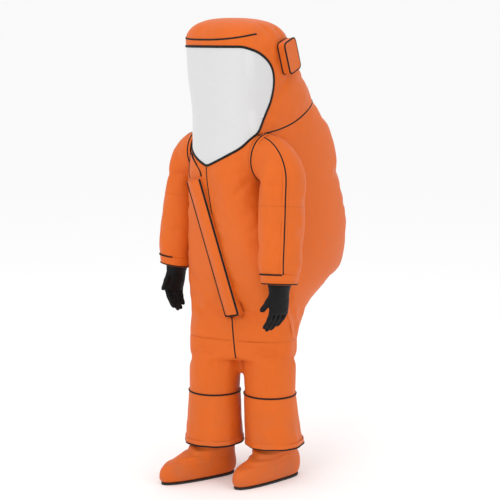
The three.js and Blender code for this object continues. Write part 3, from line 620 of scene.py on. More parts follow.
# %% Lines on the body's skin
def side_point(y, z):
    """The left side's skin at a depth and a height, or the back's middle where it ends."""
    turn = solved(lambda a: body_point(a, z).y - (y * MM + MIDDLE_Y), 0.0, math.pi)
    return body_point(turn, z)


def front_point(x, z):
    turn = solved(lambda a: body_point(a, z).x - x * MM, -0.5, math.pi / 2)
    return body_point(turn, z)


def evenly(points, step, closed=False):
    """The same line with points an even step apart."""
    points = list(points) + ([points[0]] if closed else [])
    lengths = [0.0]
    for a, b in zip(points, points[1:]):
        lengths.append(lengths[-1] + (b - a).length)
    count = max(2, round(lengths[-1] / step))
    out, i = [], 0
    for n in range(count + (0 if closed else 1)):
        want = lengths[-1] * n / count
        while i < len(lengths) - 2 and lengths[i + 1] < want:
            i += 1
        span = lengths[i + 1] - lengths[i]
        t = 0 if span < 1e-9 else min(1, (want - lengths[i]) / span)
        out.append(points[i].lerp(points[i + 1], t))
    return out


def mirrored_line(points):
    return [Vector((-p.x, p.y, p.z)) for p in points]


neck_left = evenly([side_point(y, z) for y, z in spline(NECK_SEAM, 60)], 0.012)
visor_side = spline(VISOR_SIDE, 60)
visor_lower = spline(VISOR_LOWER, 40)


# %% The visor's edge
def lower_at(x):
    """The height of the visor's lower edge at a distance from the middle."""
    for (x0, z0), (x1, z1) in zip(visor_lower, visor_lower[1:]):
        if x0 <= x <= x1:
            return z0 + (z1 - z0) * (x - x0) / (x1 - x0)
    return visor_lower[-1][1]


def side_at(z):
    """How far back the visor reaches at a height."""
    for (y0, z0), (y1, z1) in zip(visor_side, visor_side[1:]):
        if z1 <= z <= z0:
            return y0 + (y1 - y0) * (z - z0) / (z1 - z0)
    return visor_side[0][0] if z > VISOR_TOP else visor_side[-1][0]


def in_visor(p):
    """Whether a point of the skin lies inside the visor's edge."""
    y, z = (p.y - MIDDLE_Y) / MM, p.z / MM
    return z < VISOR_TOP and y < side_at(z) and z > lower_at(abs(p.x) / MM)


def visor_half():
    """The left half of the visor's edge, from the brow's middle round to the chin."""
    top_turn = solved(lambda a: body_point(a, VISOR_TOP).y - (visor_side[0][0] * MM + MIDDLE_Y), 0, 2)
    line = [body_point(top_turn * i / 14, VISOR_TOP) for i in range(14)]
    for y, z in visor_side:
        point = side_point(y, z)
        if z > lower_at(point.x / MM):
            line.append(point)
    cross = line[-1]
    for x, z in reversed(visor_lower):
        point = front_point(x, z)
        if point.x < cross.x and (point.y - MIDDLE_Y) / MM < side_at(z) + 1:
            line.append(point)
    return line


half_edge = visor_half()
visor_edge = evenly(half_edge + mirrored_line(half_edge[1:-1])[::-1], 0.010, closed=True)
print("seams", len(neck_left), "points on the neck seam,", len(visor_edge), "round the visor")

# %% [markdown]
# ## The garment's body as cloth
# The body and both legs are joined into one closed form, and a voxel remesh turns that into one
# even skin, as if the panels were welded. Then the skin is let out by a small share more cloth
# than the form needs and lightly blown up, with its seams pinned, as the suit is when it is worn.
# The spare cloth has to go somewhere, so it folds as real coated fabric does. No point may
# leave the form by more than MAX_FOLD.

# %% Cloth
SPARE = -0.030  # shrinking by less than nothing lets the cloth out
MAX_FOLD = 0.0085


def pinned_weights(obj, lines, near, also):
    """A vertex group that holds the points near the lines, and those that also() names."""
    points = [p for line in lines for p in line]
    tree = KDTree(len(points))
    for i, p in enumerate(points):
        tree.insert(p, i)
    tree.balance()
    group = obj.vertex_groups.new(name="pins")
    held = 0
    for v in obj.data.vertices:
        distance = tree.find(v.co)[2] if points else 1.0
        weight = 1.0 if also(v.co) else max(0.0, 1.0 - distance / near)
        if weight > 0:
            group.add([v.index], weight, "REPLACE")
            held += weight > 0.99
    return held


def settled(bm, lines, also, pressure=2.2, near=0.022, steps=20, limit=MAX_FOLD):
    """Lets the cloth fold between its pinned seams and gives back the settled mesh."""
    obj = made_object("cloth", bm)
    rest = [v.co.copy() for v in obj.data.vertices]
    pinned_weights(obj, lines, near, also)
    cloth = obj.modifiers.new("cloth", "CLOTH")
    values = cloth.settings
    values.quality = 5
    values.mass = 0.25
    values.tension_stiffness = 25
    values.compression_stiffness = 25
    values.shear_stiffness = 8
    values.bending_stiffness = 0.7
    values.use_pressure = True
    values.uniform_pressure_force = pressure
    values.effector_weights.gravity = 0
    values.shrink_min = SPARE
    values.vertex_group_mass = "pins"
    values.pin_stiffness = 4
    cloth.collision_settings.use_collision = False
    scene = bpy.context.scene
    for frame_number in range(1, steps + 1):
        scene.frame_set(frame_number)
    bm = with_modifiers(obj)
    scene.frame_set(1)
    bm.verts.ensure_lookup_table()
    for v, start in zip(bm.verts, rest):
        move = v.co - start
        if move.length > limit:
            v.co = start + move.normalized() * limit
    for _ in range(2):
        bmesh.ops.smooth_vert(
            bm, verts=bm.verts, factor=0.4, use_axis_x=True, use_axis_y=True, use_axis_z=True
        )
    return bm


print("cloth let out by", -SPARE, "of its size; folds up to", MAX_FOLD, "m")

# %% Armholes
SKIN_VOXEL = 0.0115
ARM_X, ARM_Y, ARM_Z = 191, 20, 1355
ARM_HIGH, ARM_FORE = 95, 82
print("armholes", 2 * ARM_HIGH, "mm high and", 2 * ARM_FORE, "mm wide")


def armhole_ring(side, x, count=48):
    """The oval where a sleeve joins the body."""
    return [
        Vector(
            (
                x * MM * SIDES[side],
                (ARM_Y + ARM_FORE * math.cos(a)) * MM + MIDDLE_Y,
                (ARM_Z + ARM_HIGH * math.sin(a)) * MM,
            )
        )
        for a in (math.tau * i / count for i in range(count))
    ]


def armhole_stub(side):
    def place(turn, along):
        x = 120 + (ARM_X - 120) * along
        return Vector(
            (
                x * MM * SIDES[side],
                (ARM_Y - ARM_FORE * math.cos(turn)) * MM + MIDDLE_Y,
                (ARM_Z + ARM_HIGH * math.sin(turn)) * MM,
            )
        )

    return tube(40, 6, place)


# %% Body skin
skin = joined(
    body_tube(BODY_LOW, 96, 110, 20),
    leg_tube("left", 172, 560, leg_radius, 56, 40),
    leg_tube("right", 172, 560, leg_radius, 56, 40),
    armhole_stub("left"),
    armhole_stub("right"),
)
skin = remeshed(skin, SKIN_VOXEL)
centre_front = [body_point(0, z) for z in range(524, 1320, 12)]
centre_back = [body_point(math.pi, z) for z in range(640, 1880, 12)]
side_seams = [[body_point(s * math.pi / 2, z) for z in range(560, 1240, 12)] for s in (1, -1)]
arm_rings = [armhole_ring(side, 188) for side in SIDES]
pin_lines = [neck_left, mirrored_line(neck_left), visor_edge, centre_front, centre_back]
pin_lines += side_seams + arm_rings


TROUSER_END, SEAM_REACH = 0.19, 0.006


def held_points(p):
    """The visor's place, the armholes and the trouser ends stay where they are."""
    level = abs(p.z - ARM_Z * MM) < 0.1 and abs(p.y - (ARM_Y * MM + MIDDLE_Y)) < 0.09
    armhole = level and abs(p.x) > 0.186
    visor = in_visor(p) and p.y < -0.10
    return visor or armhole or p.z < TROUSER_END or abs(p.z - HIP_SEAM * MM) < SEAM_REACH


skin = settled(skin, pin_lines, held_points)
print("skin", len(skin.faces), "faces")

# %% [markdown]
# ## Cutting the skin into its panels
# The skin is parted along its seams into the hood, the torso's front and back, and the trousers.
# The side seams lie where the body turns from its front to its back. The points next to
# a seam are first moved onto it, so that every edge follows its line, and the visor's opening is
# left out. Each panel then gets a wall, which shows at the opening's edge.


# %% Panels
def nearest_tree(points):
    tree = KDTree(len(points))
    for i, p in enumerate(points):
        tree.insert(p, i)
    tree.balance()
    return tree


def dense(line, closed=False):
    return evenly(line, 0.002, closed)


def neck_height(y):
    """The neck seam's height at a depth, in metres."""
    points = spline(NECK_SEAM, 60)
    want = (y - MIDDLE_Y) / MM
    for (y0, z0), (y1, z1) in zip(points, points[1:]):
        if y0 <= want <= y1:
            return (z0 + (z1 - z0) * (want - y0) / (y1 - y0)) * MM
    return (points[0][1] if want < points[0][0] else points[-1][1]) * MM


def across_and_back(p):
    """How far a point lies across the body and towards its back, along the body's own turned axes."""
    angle = math.radians(through(BODY, "turn", p.z / MM))
    x, y = p.x / MM, (p.y - MIDDLE_Y) / MM - through(BODY, "middle", p.z / MM)
    return x * math.cos(angle) + y * math.sin(angle), y * math.cos(angle) - x * math.sin(angle)


def on_side_seam(p):
    """The point moved round the body, level, onto its side seam."""
    angle = math.radians(through(BODY, "turn", p.z / MM))
    x = across_and_back(p)[0]
    y = through(BODY, "middle", p.z / MM) + x * math.sin(angle)
    return Vector((x * math.cos(angle) * MM, y * MM + MIDDLE_Y, p.z))


def panel_of(face):
    p = face.calc_center_median()
    if in_visor(p) and p.y < -0.08:
        return "opening"
    if p.z > neck_height(p.y):
        return "hood"
    if p.z < HIP_SEAM * MM:
        return "trousers"
    return "torso_front" if across_and_back(p)[1] < 0 else "torso_back"


# %% Points on the seams
SNAP_REACH = 0.016  # how far away a seam may be to draw a point onto it
neck_right = mirrored_line(neck_left)
visor_tree = nearest_tree(dense(visor_edge, True))
neck_tree = nearest_tree(dense(neck_left) + dense(neck_right))
skin.faces.ensure_lookup_table()
panel = {face.index: panel_of(face) for face in skin.faces}
for v in skin.verts:
    kinds = {panel[face.index] for face in v.link_faces}
    if len(kinds) < 2:
        continue
    if "opening" in kinds:
        found, _, distance = visor_tree.find(v.co)
    elif "hood" in kinds:
        found, _, distance = neck_tree.find(v.co)
    elif "trousers" in kinds:
        found, distance = Vector((v.co.x, v.co.y, HIP_SEAM * MM)), 0.0
    else:
        found, distance = on_side_seam(v.co), 0.0
    if distance < SNAP_REACH:
        v.co = found
skin_tree = BVHTree.FromBMesh(skin)
print("panels", {kind: list(panel.values()).count(kind) for kind in sorted(set(panel.values()))})


# %% Panel objects
def panel_object(kind, name):
    bm = skin.copy()
    bm.faces.ensure_lookup_table()
    away = [face for face in bm.faces if panel[face.index] != kind]
    bmesh.ops.delete(bm, geom=away, context="FACES")
    obj = made_object(name, bm, suit_fabric, lining)
    walled(subdivided(obj), FABRIC)
    obj.modifiers["wall"].material_offset = 1
    obj.modifiers["wall"].material_offset_rim = 0
    return obj


part(panel_object("hood", "hood_shell"), "suit", "suit_fabric", "hood")
torso_front = panel_object("torso_front", "torso_front_shell")
part(torso_front, "suit", "suit_fabric", "torso_front_left", "torso_front_right")
part(panel_object("torso_back", "torso_back_shell"), "suit", "suit_fabric", "torso_back")
part(panel_object("trousers", "trouser_shell"), "suit", "suit_fabric", "leg_left", "leg_right")

# %% [markdown]
# ## Seam bindings
# On the real suit a seam is stitched, then a tape is welded over it, and a dark binding is laid
# along the line. So two strips follow each line: a wide flat one in the suit's colour, and a
# narrow rounded dark one on top. `strip` sweeps a flat rounded outline along a line that lies on
# the cloth, and stands it up along the cloth's own normal.


# %% Strips along a line
def laid_on(points, tree, lift=0.0, reach=0.03):
    """Each point moved onto the cloth, with the cloth's normal there."""
    out = []
    for p in points:
        place, normal, _, distance = tree.find_nearest(p)
        if place is not None and distance < reach:
            out.append((place + normal * lift, normal))
    return out


def softened(pairs, rounds=2, closed=False):
    """The same line with its jitter taken out."""
    for _ in range(rounds):
        fresh = []
        last = len(pairs) - 1
        for i, (place, normal) in enumerate(pairs):
            if not closed and i in (0, last):
                fresh.append((place, normal))
                continue
            before, after = pairs[i - 1], pairs[(i + 1) % len(pairs)]
            middle = place * 0.5 + (before[0] + after[0]) * 0.25
            up = (normal * 2 + before[1] + after[1]).normalized()
            fresh.append((middle, up))
        pairs = fresh
    return pairs


# %% A strip and its outline
ROUNDED = ((-1, -0.6), (-0.96, 0.15), (-0.6, 0.8), (0, 1.0), (0.6, 0.8), (0.96, 0.15), (1, -0.6))
FLAT = ((-1, -0.8), (-0.97, 0.6), (-0.5, 1.0), (0.5, 1.0), (0.97, 0.6), (1, -0.8))


def strip(name, pairs, width, height, material, outline=ROUNDED, closed=False):
    """A closed strip of that width and height along (place, normal) pairs."""
    steps, around = len(pairs), len(outline)
    bm = bmesh.new()
    bmesh.ops.create_grid(bm, x_segments=steps if closed else steps - 1, y_segments=around, size=0.5)
    columns = steps if closed else steps - 1
    for v in bm.verts:
        i = round((v.co.x + 0.5) * columns)
        j = round((v.co.y + 0.5) * around)
        place, normal = pairs[i % steps]
        ahead = pairs[(i + 1) % steps if closed else min(i + 1, steps - 1)][0]
        behind = pairs[(i - 1) % steps if closed else max(i - 1, 0)][0]
        along = (ahead - behind).normalized()
        across = along.cross(normal).normalized()
        u, w = outline[j % around]
        v.co = place + across * (u * width / 2) + normal * (w * height)
    bmesh.ops.remove_doubles(bm, verts=bm.verts, dist=1e-6)
    if not closed:
        bmesh.ops.holes_fill(bm, edges=[e for e in bm.edges if e.is_boundary])
    bm.normal_update()
    bmesh.ops.recalc_face_normals(bm, faces=bm.faces)
    return made_object(name, bm, material)


# %% Seams round the neck and over the brow
BINDING_WIDTH, BINDING_HEIGHT = 0.0075, 0.0022
TAPE_WIDTH, TAPE_HEIGHT = 0.026, 0.0009


def seam(name, points, body, closed=False, width=BINDING_WIDTH, tape=True, tree=None, ink=True):
    """A taped seam with its dark binding, along a line on the cloth."""
    line = softened(laid_on(evenly(points, 0.008, closed), tree or skin_tree), 3, closed)
    made = []
    if tape:
        made.append(strip(name + "_tape", line, TAPE_WIDTH, TAPE_HEIGHT, seam_tape, FLAT, closed))
    if ink:
        made.append(strip(name, line, width, BINDING_HEIGHT, binding, ROUNDED, closed))
    for obj in made:
        if body:
            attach(obj, body)
    return made


def around_body(z_at, low_turn, high_turn, count=60):
    turns = (low_turn + (high_turn - low_turn) * i / count for i in range(count + 1))
    return [body_point(turn, z_at(turn)) for turn in turns]


neck_line = [p for p in neck_left if p.y > -0.185 and not in_visor(p)]
seam("neck_seam", neck_line + mirrored_line(neck_line)[::-1], "suit")
print("neck seam", len(neck_line), "points a side")
seam("brow_seam", around_body(lambda a: 1815 + 10 * a**2, -1.5, 1.5), "suit", tape=False)


# %% [markdown]
# ## The front seam
# The two front panels meet on the middle line, from the visor's chin to the crotch. The zip and
# its flap cross that line, and the seam stops where they lie.

# %% Front and side seams
ZIP_TOP = Vector((-74, -131, 1256)) * MM + Vector((0, MIDDLE_Y, 0))
ZIP_BOTTOM = Vector((44, -27, 704)) * MM + Vector((0, MIDDLE_Y, 0))
ZIP_UP = (ZIP_TOP - ZIP_BOTTOM).normalized()
ZIP_OUT = Vector((0, -ZIP_UP.z, ZIP_UP.y)).normalized()
ZIP_ACROSS = ZIP_OUT.cross(ZIP_UP)
ZIP_LENGTH = (ZIP_TOP - ZIP_BOTTOM).length
FLAP_HALF = 0.043
FLAP_MARGIN = 0.004  # how far the front seam keeps from the flap's ends


def under_flap(p):
    up = (p - ZIP_BOTTOM).dot(ZIP_UP)
    across = (p - ZIP_BOTTOM).dot(ZIP_ACROSS)
    return -FLAP_MARGIN < up < ZIP_LENGTH + FLAP_MARGIN and abs(across) < FLAP_HALF


front = [body_point(0, z) for z in range(526, 1318, 6)]
WAIST = 0.95
upper_front = [p for p in front if p.z > WAIST and not under_flap(p)]
lower_front = [p for p in front if p.z < WAIST and not under_flap(p)]
seam("front_seam_upper", upper_front, "suit")
seam("front_seam_lower", lower_front, "suit")
for name, turn in (
    ("back_seam", math.pi), ("side_seam_left", math.pi / 2), ("side_seam_right", -math.pi / 2),
):
    top = 1570 if name == "back_seam" else 1235
    seam(name, [body_point(turn, z) for z in range(610, top, 8)], "suit", ink=False)
print("front seam", len(upper_front), "and", len(lower_front), "points")

# %% [markdown]
# ## The visor
# The visor is one bent sheet that carries on the hood's curve. It is taken from the body's own
# pattern, a hair below the fabric, so that its reflections stay clean, and cut along the
# opening's edge. The dark seal lies over the joint.


# %% Visor sheet and seal
VISOR_LOW = 1296  # a little below the visor's chin


def visor_sheet_mesh():
    bm = body_tube(VISOR_LOW, 180, 110, 12, grow=-1.0)

    def outside(p):
        return p.y > -0.06 or not in_visor(p)

    away = [f for f in bm.faces if all(outside(v.co) for v in f.verts) or len(f.verts) > 4]
    bmesh.ops.delete(bm, geom=away, context="FACES")
    for v in bm.verts:
        if v.is_boundary:
            place, _, distance = visor_tree.find(v.co)
            if distance < 0.02:
                v.co = place
    bmesh.ops.remove_doubles(bm, verts=bm.verts, dist=0.0004)
    return bm


visor = walled(made_object("visor_sheet", visor_sheet_mesh(), visor_sheet), 0.002)
part(visor, "suit", "visor_sheet", "visor")
seal_line = softened(laid_on(evenly(visor_edge, 0.008, True), skin_tree, 0.0, 0.05), 2, True)
seal = strip("visor_seal_strip", seal_line, 0.0105, 0.0032, binding, ROUNDED, True)
part(seal, "suit", "visor_seal", "visor_seal")
print("visor", len(visor.data.polygons), "faces")

# %% [markdown]
# ## Sleeves
# A sleeve starts as an oval at the armhole, bends over the shoulder and hangs a little forward.
# It is one tube, let out and settled like the body, and then parted above the elbow, because one
# piece of cloth can bend between two bodies only. The right sleeve mirrors the left one.

# %% Sleeve pattern
SLEEVE_BEND = 98
GAP = 0.3  # between touching pieces, in millimetres
ARM_OUT, ARM_FORWARD = 0.09, 0.115  # how far the arm leans for each millimetre down
WRIST_DROP, SPLIT_DROP = 388, 88
BEND_ROWS, SLEEVE_ROWS = 14, 36
SLEEVE = [
    dict(zip(("z", "side", "fore"), row))
    for row in ((0, 61, 70), (38, 64, 84), (84, 68, 97), (190, 72, 101), (388, 72, 100))
]
print("sleeve", WRIST_DROP + SLEEVE_BEND, "mm from its shoulder bend to the wrist")


def arm_point(drop):
    """The sleeve's middle at a drop below its bend, in metres, on the left."""
    x = ARM_X + GAP + SLEEVE_BEND + ARM_OUT * drop
    return Vector((x, ARM_Y - ARM_FORWARD * drop, ARM_Z - SLEEVE_BEND - drop)) * MM + Vector(
        (0, MIDDLE_Y, 0)
    )


def sleeve_point(turn, way, grow=0.0):
    """The left sleeve's skin: way 0 to 1 over the bend, and 1 to 2 down to the wrist."""
    across, fore_way = math.sin(turn), -math.cos(turn)
    if way <= 1:
        angle = way * math.pi / 2
        side = ARM_HIGH + (SLEEVE[-1]["side"] - ARM_HIGH) * way + grow
        fore = ARM_FORE + (SLEEVE[-1]["fore"] - ARM_FORE) * way + grow
        radial = SLEEVE_BEND + across * side
        x = ARM_X + GAP + radial * math.sin(angle)
        z = ARM_Z - SLEEVE_BEND + radial * math.cos(angle)
        return Vector((x, ARM_Y + fore_way * fore, z)) * MM + Vector((0, MIDDLE_Y, 0))
    drop = WRIST_DROP * (way - 1)
    above = WRIST_DROP - drop
    side = (through(SLEEVE, "side", above) + grow) * MM
    fore = (through(SLEEVE, "fore", above) + grow) * MM
    blend = min(1, (way - 1) * 6)
    out = Vector((1, 0, ARM_OUT * blend)).normalized()
    back = Vector((0, 1, -ARM_FORWARD * blend)).normalized()
    return arm_point(drop) + out * (across * side) + back * (fore_way * fore)


# %% The sleeve's tube and its frame
def sleeve_tube(low, high, sides, rows, grow=0.0):
    return tube(sides, rows, lambda turn, along: sleeve_point(turn, low + (high - low) * along, grow))


def arm_frame(drop):
    """Axes at a drop down the left arm: +Z up the arm, +X out, -Y forward."""
    up = Vector((-ARM_OUT, ARM_FORWARD, 1)).normalized()
    out = (Vector((1, 0, 0)) - up * up.x).normalized()
    frame_here = Matrix((out, up.cross(out), up)).transposed().to_4x4()
    frame_here.translation = arm_point(drop)
    return frame_here


WRIST = arm_frame(WRIST_DROP)
ELBOW = arm_point(204)
print("elbow at", [round(c, 3) for c in ELBOW], "and wrist at", [round(c, 3) for c in WRIST.translation])


# %% Sleeve cloth
HEAD_HELD, WRIST_HELD = 0.2, 0.045  # the cloth stays put this near the armhole and the wrist
OVER_PIN, UNDER_PIN = 68, -112  # degrees round from the front, where it is pinned along the arm


def sleeve_cloth():
    bm = sleeve_tube(0, 2, 44, BEND_ROWS + SLEEVE_ROWS)
    ends = [f for f in bm.faces if len(f.verts) > 4]
    bmesh.ops.delete(bm, geom=ends, context="FACES_ONLY")
    ways = [0.2 + 1.8 * i / 90 for i in range(91)]
    over, under = ([sleeve_point(math.radians(a), w) for w in ways] for a in (OVER_PIN, UNDER_PIN))

    def held(p):
        return p.x < HEAD_HELD or (p - WRIST.translation).dot(WRIST.col[2].xyz) < WRIST_HELD

    return settled(bm, [over, under], held, pressure=2.0, near=0.015, limit=0.008)


def half_sleeve(whole, upper):
    """The part of the sleeve above or below its parting ring."""
    bm = whole.copy()
    bmesh.ops.bisect_plane(
        bm,
        geom=bm.verts[:] + bm.edges[:] + bm.faces[:],
        plane_co=arm_point(SPLIT_DROP),
        plane_no=WRIST.col[2].xyz,
        clear_inner=upper,
        clear_outer=not upper,
    )
    return bm


def mirror_to(bm, side):
    """The left side's mesh, mirrored for the right side."""
    if side == "right":
        bmesh.ops.scale(bm, vec=(-1, 1, 1), verts=bm.verts)
        bmesh.ops.reverse_faces(bm, faces=bm.faces)
    return bm


def on_side(point, side):
    return Vector((point.x * SIDES[side], point.y, point.z))


sleeve_whole = sleeve_cloth()
sleeve_tree = BVHTree.FromBMesh(sleeve_whole)
HEAD_START, HEAD_END = Vector((0.191, 0, 1.251)), Vector((0.229, 0, 1.214))
ELBOW_SPAN = 0.085 * WRIST.col[2].xyz
print("sleeve", len(sleeve_whole.faces), "faces")


# %% Sleeve pieces
def bend_upper(obj, side):
    """Bakes the piece's placement into its own mesh."""
    start, end = on_side(HEAD_START, side), on_side(HEAD_END, side)
    side + "_upper_arm"
    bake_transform(obj)


def bend_lower(obj, side):
    """Bakes the piece's placement into its own mesh."""
    start, end = ELBOW + ELBOW_SPAN, ELBOW - ELBOW_SPAN
    side + "_upper_arm"
    side + "_forearm"
    on_side(start, side)
    on_side(end, side)
    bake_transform(obj)


def sleeve_line(turn_degrees, low, high, count):
    turn = math.radians(turn_degrees)
    return [sleeve_point(turn, low + (high - low) * i / count) for i in range(count + 1)]


SPLIT_PART = 1 + SPLIT_DROP / WRIST_DROP
HEAD_RING = 0.05  # how far along the sleeve its armhole seam lies
OVER_ARM, UNDER_ARM = 66, -112  # degrees round from the front, where the two seams run

for side in SIDES:
    cut = half_sleeve(sleeve_whole, True)
    upper = made_object("sleeve_upper_shell_" + side, mirror_to(cut, side), suit_fabric)
    walled(subdivided(upper), FABRIC)
    part(upper, None, "suit_fabric", "sleeve_upper_" + side)
    bend_upper(upper, side)
    cut = half_sleeve(sleeve_whole, False)
    lower = made_object("sleeve_lower_shell_" + side, mirror_to(cut, side), suit_fabric)
    walled(subdivided(lower), FABRIC)
    part(lower, None, "suit_fabric", "sleeve_lower_" + side, "elbow_" + side)
    bend_lower(lower, side)
    for place, low, high, bend in (
        ("upper", 0.0, SPLIT_PART, bend_upper),
        ("lower", SPLIT_PART, 1.9, bend_lower),
    ):
        for kind, turn, ink in (("over_arm_seam", OVER_ARM, True), ("under_arm_seam", UNDER_ARM, False)):
            raw = laid_on(evenly(sleeve_line(turn, low, high, 60), 0.008), sleeve_tree)
            raw = [(on_side(p, side), on_side(n, side)) for p, n in softened(raw, 3)]
            name = f"{kind}_{place}_{side}"
            made = [strip(name + "_tape", raw, TAPE_WIDTH, TAPE_HEIGHT, seam_tape, FLAT)]
            if ink:
                made.append(strip(name, raw, BINDING_WIDTH, BINDING_HEIGHT, binding))
            for obj in made:
                bend(obj, side)
    counts = [len(piece.data.polygons) for piece in (upper, lower)]
    print(side, "sleeve in two pieces of", counts, "faces")

# %% [markdown]
# ## Armholes
# The sleeve is sewn to the body round an oval. The binding covers that joint. Over the shoulder
# a short seam runs from the neck seam to the top of the armhole.

# %% Armhole and shoulder seams
for side in SIDES:
    turns = [math.tau * i / 72 for i in range(72)]
    ring = [sleeve_point(turn, HEAD_RING, 0.6) for turn in turns]
    inner = [sleeve_point(turn, HEAD_RING, -9) for turn in turns]
    pairs = [(on_side(p, side), on_side((p - q).normalized(), side)) for p, q in zip(ring, inner)]
    dark = strip("armhole_seam_" + side, pairs, 0.010, 0.0030, binding, ROUNDED, True)
    part(dark, "suit", "hem_tape")
    wide = strip("armhole_tape_" + side, pairs, 0.030, 0.0012, seam_tape, FLAT, True)
    part(wide, "suit", "suit_fabric")
    top = max(ring, key=lambda p: p.z)
    start = min(neck_left, key=lambda p: abs(p.y - top.y))
    bridge = [on_side(start.lerp(top, i / 8), side) for i in range(9)]
    seam("shoulder_seam_" + side, bridge, "suit")
    print(side, "armhole", len(ring), "points round; its top is", round(top.z, 3), "m up")


# %% [markdown]
# ## Cuffs
# The sleeve ends in a doubled cuff that stands a little proud. A short dark line of binding runs
# across its front. Inside it the glove is clamped on a ring: those are the frame's own parts,
# with a plastic and a metal finish.


# %% Cuffs
def cuff_mesh():
    low, high = 1 + (WRIST_DROP - 40) / WRIST_DROP, 2.0
    bm = sleeve_tube(low, high, 56, 5, grow=2.4)
    ends = [f for f in bm.faces if len(f.verts) > 4]
    bmesh.ops.delete(bm, geom=ends, context="FACES_ONLY")
    return bm


for side in SIDES:
    cuff = made_object("cuff_band_" + side, mirror_to(cuff_mesh(), side), suit_fabric)
    part(walled(subdivided(cuff), 0.004), side + "_forearm", "suit_fabric", "cuff_" + side)
    for name, height, low, high, width, thick in (
        ("cuff_line_", 0.90, -40, 62, 0.0065, 0.0026),
        ("cuff_hem_", 0.992, -180, 180, 0.005, 0.0030),
    ):
        closed = high - low == 360
        turns = [math.radians(low + (high - low) * i / 60) for i in range(60 if closed else 61)]
        pairs = []
        for turn in turns:
            p = sleeve_point(turn, 1 + height, 2.8)
            away = p - sleeve_point(turn, 1 + height, -8)
            pairs.append((on_side(p, side), on_side(away.normalized(), side)))
        if side == "right":
            pairs.reverse()
        line = strip(name + side, pairs, width, thick, binding, ROUNDED, closed)
        part(line, side + "_forearm", "hem_tape")
    print(side, "cuff", len(cuff.data.polygons), "faces")

# %% [markdown]
# ## Gloves
# The gloves are dipped rubber, so they have no seams: a wide gauntlet that narrows to the palm,
# four fingers and a thumb, each slightly bent and set apart from the next. Simple forms are
# joined, and a fine remesh melts them together, as the dipping does.


# %% Fingers
PALM_LENGTH, PALM_WIDTH = 116, 50
FINGERS = ((76, -1.5), (88, -0.5), (82, 0.5), (62, 1.5))
FINGER_RADIUS, FINGER_PITCH, FINGER_SPLAY, FINGER_CURL = 9.8, 25.0, 4.6, 34
THUMB_LENGTH, THUMB_RADIUS, THUMB_CURL = 88, 13.5, 14
print("fingers", [length for length, _ in FINGERS], "mm long")


def finger_tube(length, radius, root, way, curl_axis, curl):
    """A bent finger with three joints and a rounded tip; lengths in millimetres."""
    rows = 22

    def place(turn, along):
        reach = length * along
        bent = Matrix.Rotation(curl * along, 3, curl_axis) @ way
        middle = root + (way * 0.5 + bent * 0.5).normalized() * reach
        left = length * (1 - along)
        tip = math.sqrt(max(0.0, 1 - (1 - min(1, left / radius)) ** 2))
        joints = 1 + 0.05 * math.cos(along * math.tau * 2.6)
        size = radius * (1.06 - 0.2 * along) * tip * joints
        across = curl_axis.cross(bent).normalized()
        return middle + curl_axis * (math.sin(turn) * size) + across * (math.cos(turn) * size)

    return tube(18, rows, place)


def palm_tube():
    stations = [
        dict(zip(("z", "side", "fore"), row))
        for row in (
            (-PALM_LENGTH, 15, 40), (-PALM_LENGTH + 10, 20, 46), (-66, 24, 50), (-28, 31, 47),
            (4, 46, 49), (14, 49.5, 49.5), (46, 49.5, 49.5),
        )
    ]

    def place(turn, along):
        z = -PALM_LENGTH + (46 + PALM_LENGTH) * along
        side, fore = through(stations, "side", z), through(stations, "fore", z)
        return Vector((side * math.sin(turn), -fore * math.cos(turn), z))

    return tube(32, 28, place)


# %% Glove
def glove_mesh():
    parts = [palm_tube()]
    fore = Vector((0, 1, 0))
    down = Matrix.Rotation(math.radians(22), 3, "Y") @ Vector((0, 0, -1))
    for length, slot_at in FINGERS:
        splay = Matrix.Rotation(math.radians(-FINGER_SPLAY * slot_at), 3, "X") @ down
        root = Vector((0, slot_at * FINGER_PITCH, -PALM_LENGTH + 10))
        parts.append(finger_tube(length + 14, FINGER_RADIUS, root, splay, fore, math.radians(FINGER_CURL)))
    thumb_way = Matrix.Rotation(math.radians(-27), 3, "X") @ Vector((0, 0, -1))
    thumb_way = Matrix.Rotation(math.radians(11), 3, "Y") @ thumb_way
    root = Vector((2, -PALM_WIDTH + 17, -34))
    thumb_curl = math.radians(THUMB_CURL)
    parts.append(finger_tube(THUMB_LENGTH, THUMB_RADIUS, root, thumb_way, fore, thumb_curl))
    bm = joined(*parts)
    bmesh.ops.scale(bm, vec=(MM, MM, MM), verts=bm.verts)
    bm = remeshed(bm, 0.0026, 3)
    for v in bm.verts:
        fold = noise.noise(Vector((v.co.x * 20, v.co.y * 20, v.co.z * 70)))
        v.co += v.normal * fold * 0.0010 * (1 if v.co.z > -0.08 else 0.4)
    bmesh.ops.transform(bm, matrix=WRIST, verts=bm.verts)
    return bm


glove_left = glove_mesh()
print("glove", len(glove_left.faces), "faces")
for side in SIDES:
    glove = made_object("glove_shell_" + side, mirror_to(glove_left.copy(), side), glove_rubber)
    part(glove, side + "_forearm", "glove_rubber", "glove_" + side)

# %% [markdown]
# ## Boot socks and soles
# The suit's feet are socks of the same fabric with a rubber sole, loose enough to wear inside
# overboots. The form is a swept foot, remeshed and wrinkled a little where the ankle bends.

# %% Boot pattern
FOOT = [
    dict(zip(("z", "toe", "heel", "side"), row))
    for row in (
        (8, 262, 84, 52), (22, 273, 94, 59), (52, 271, 97, 61), (76, 250, 95, 62),
        (95, 196, 91, 64), (114, 138, 88, 70), (142, 96, 87, 80), (176, 88, 88, 88),
    )
]
FOOT_SQUARENESS = 2.35
TOE_OUT = 5  # degrees
SOCK_LOW = 8.3  # the sole's top, with a gap
ANKLE_FOLD, SOCK_PUFF = 0.0032, 0.0028  # how deep the sock's folds and puffs are, in metres


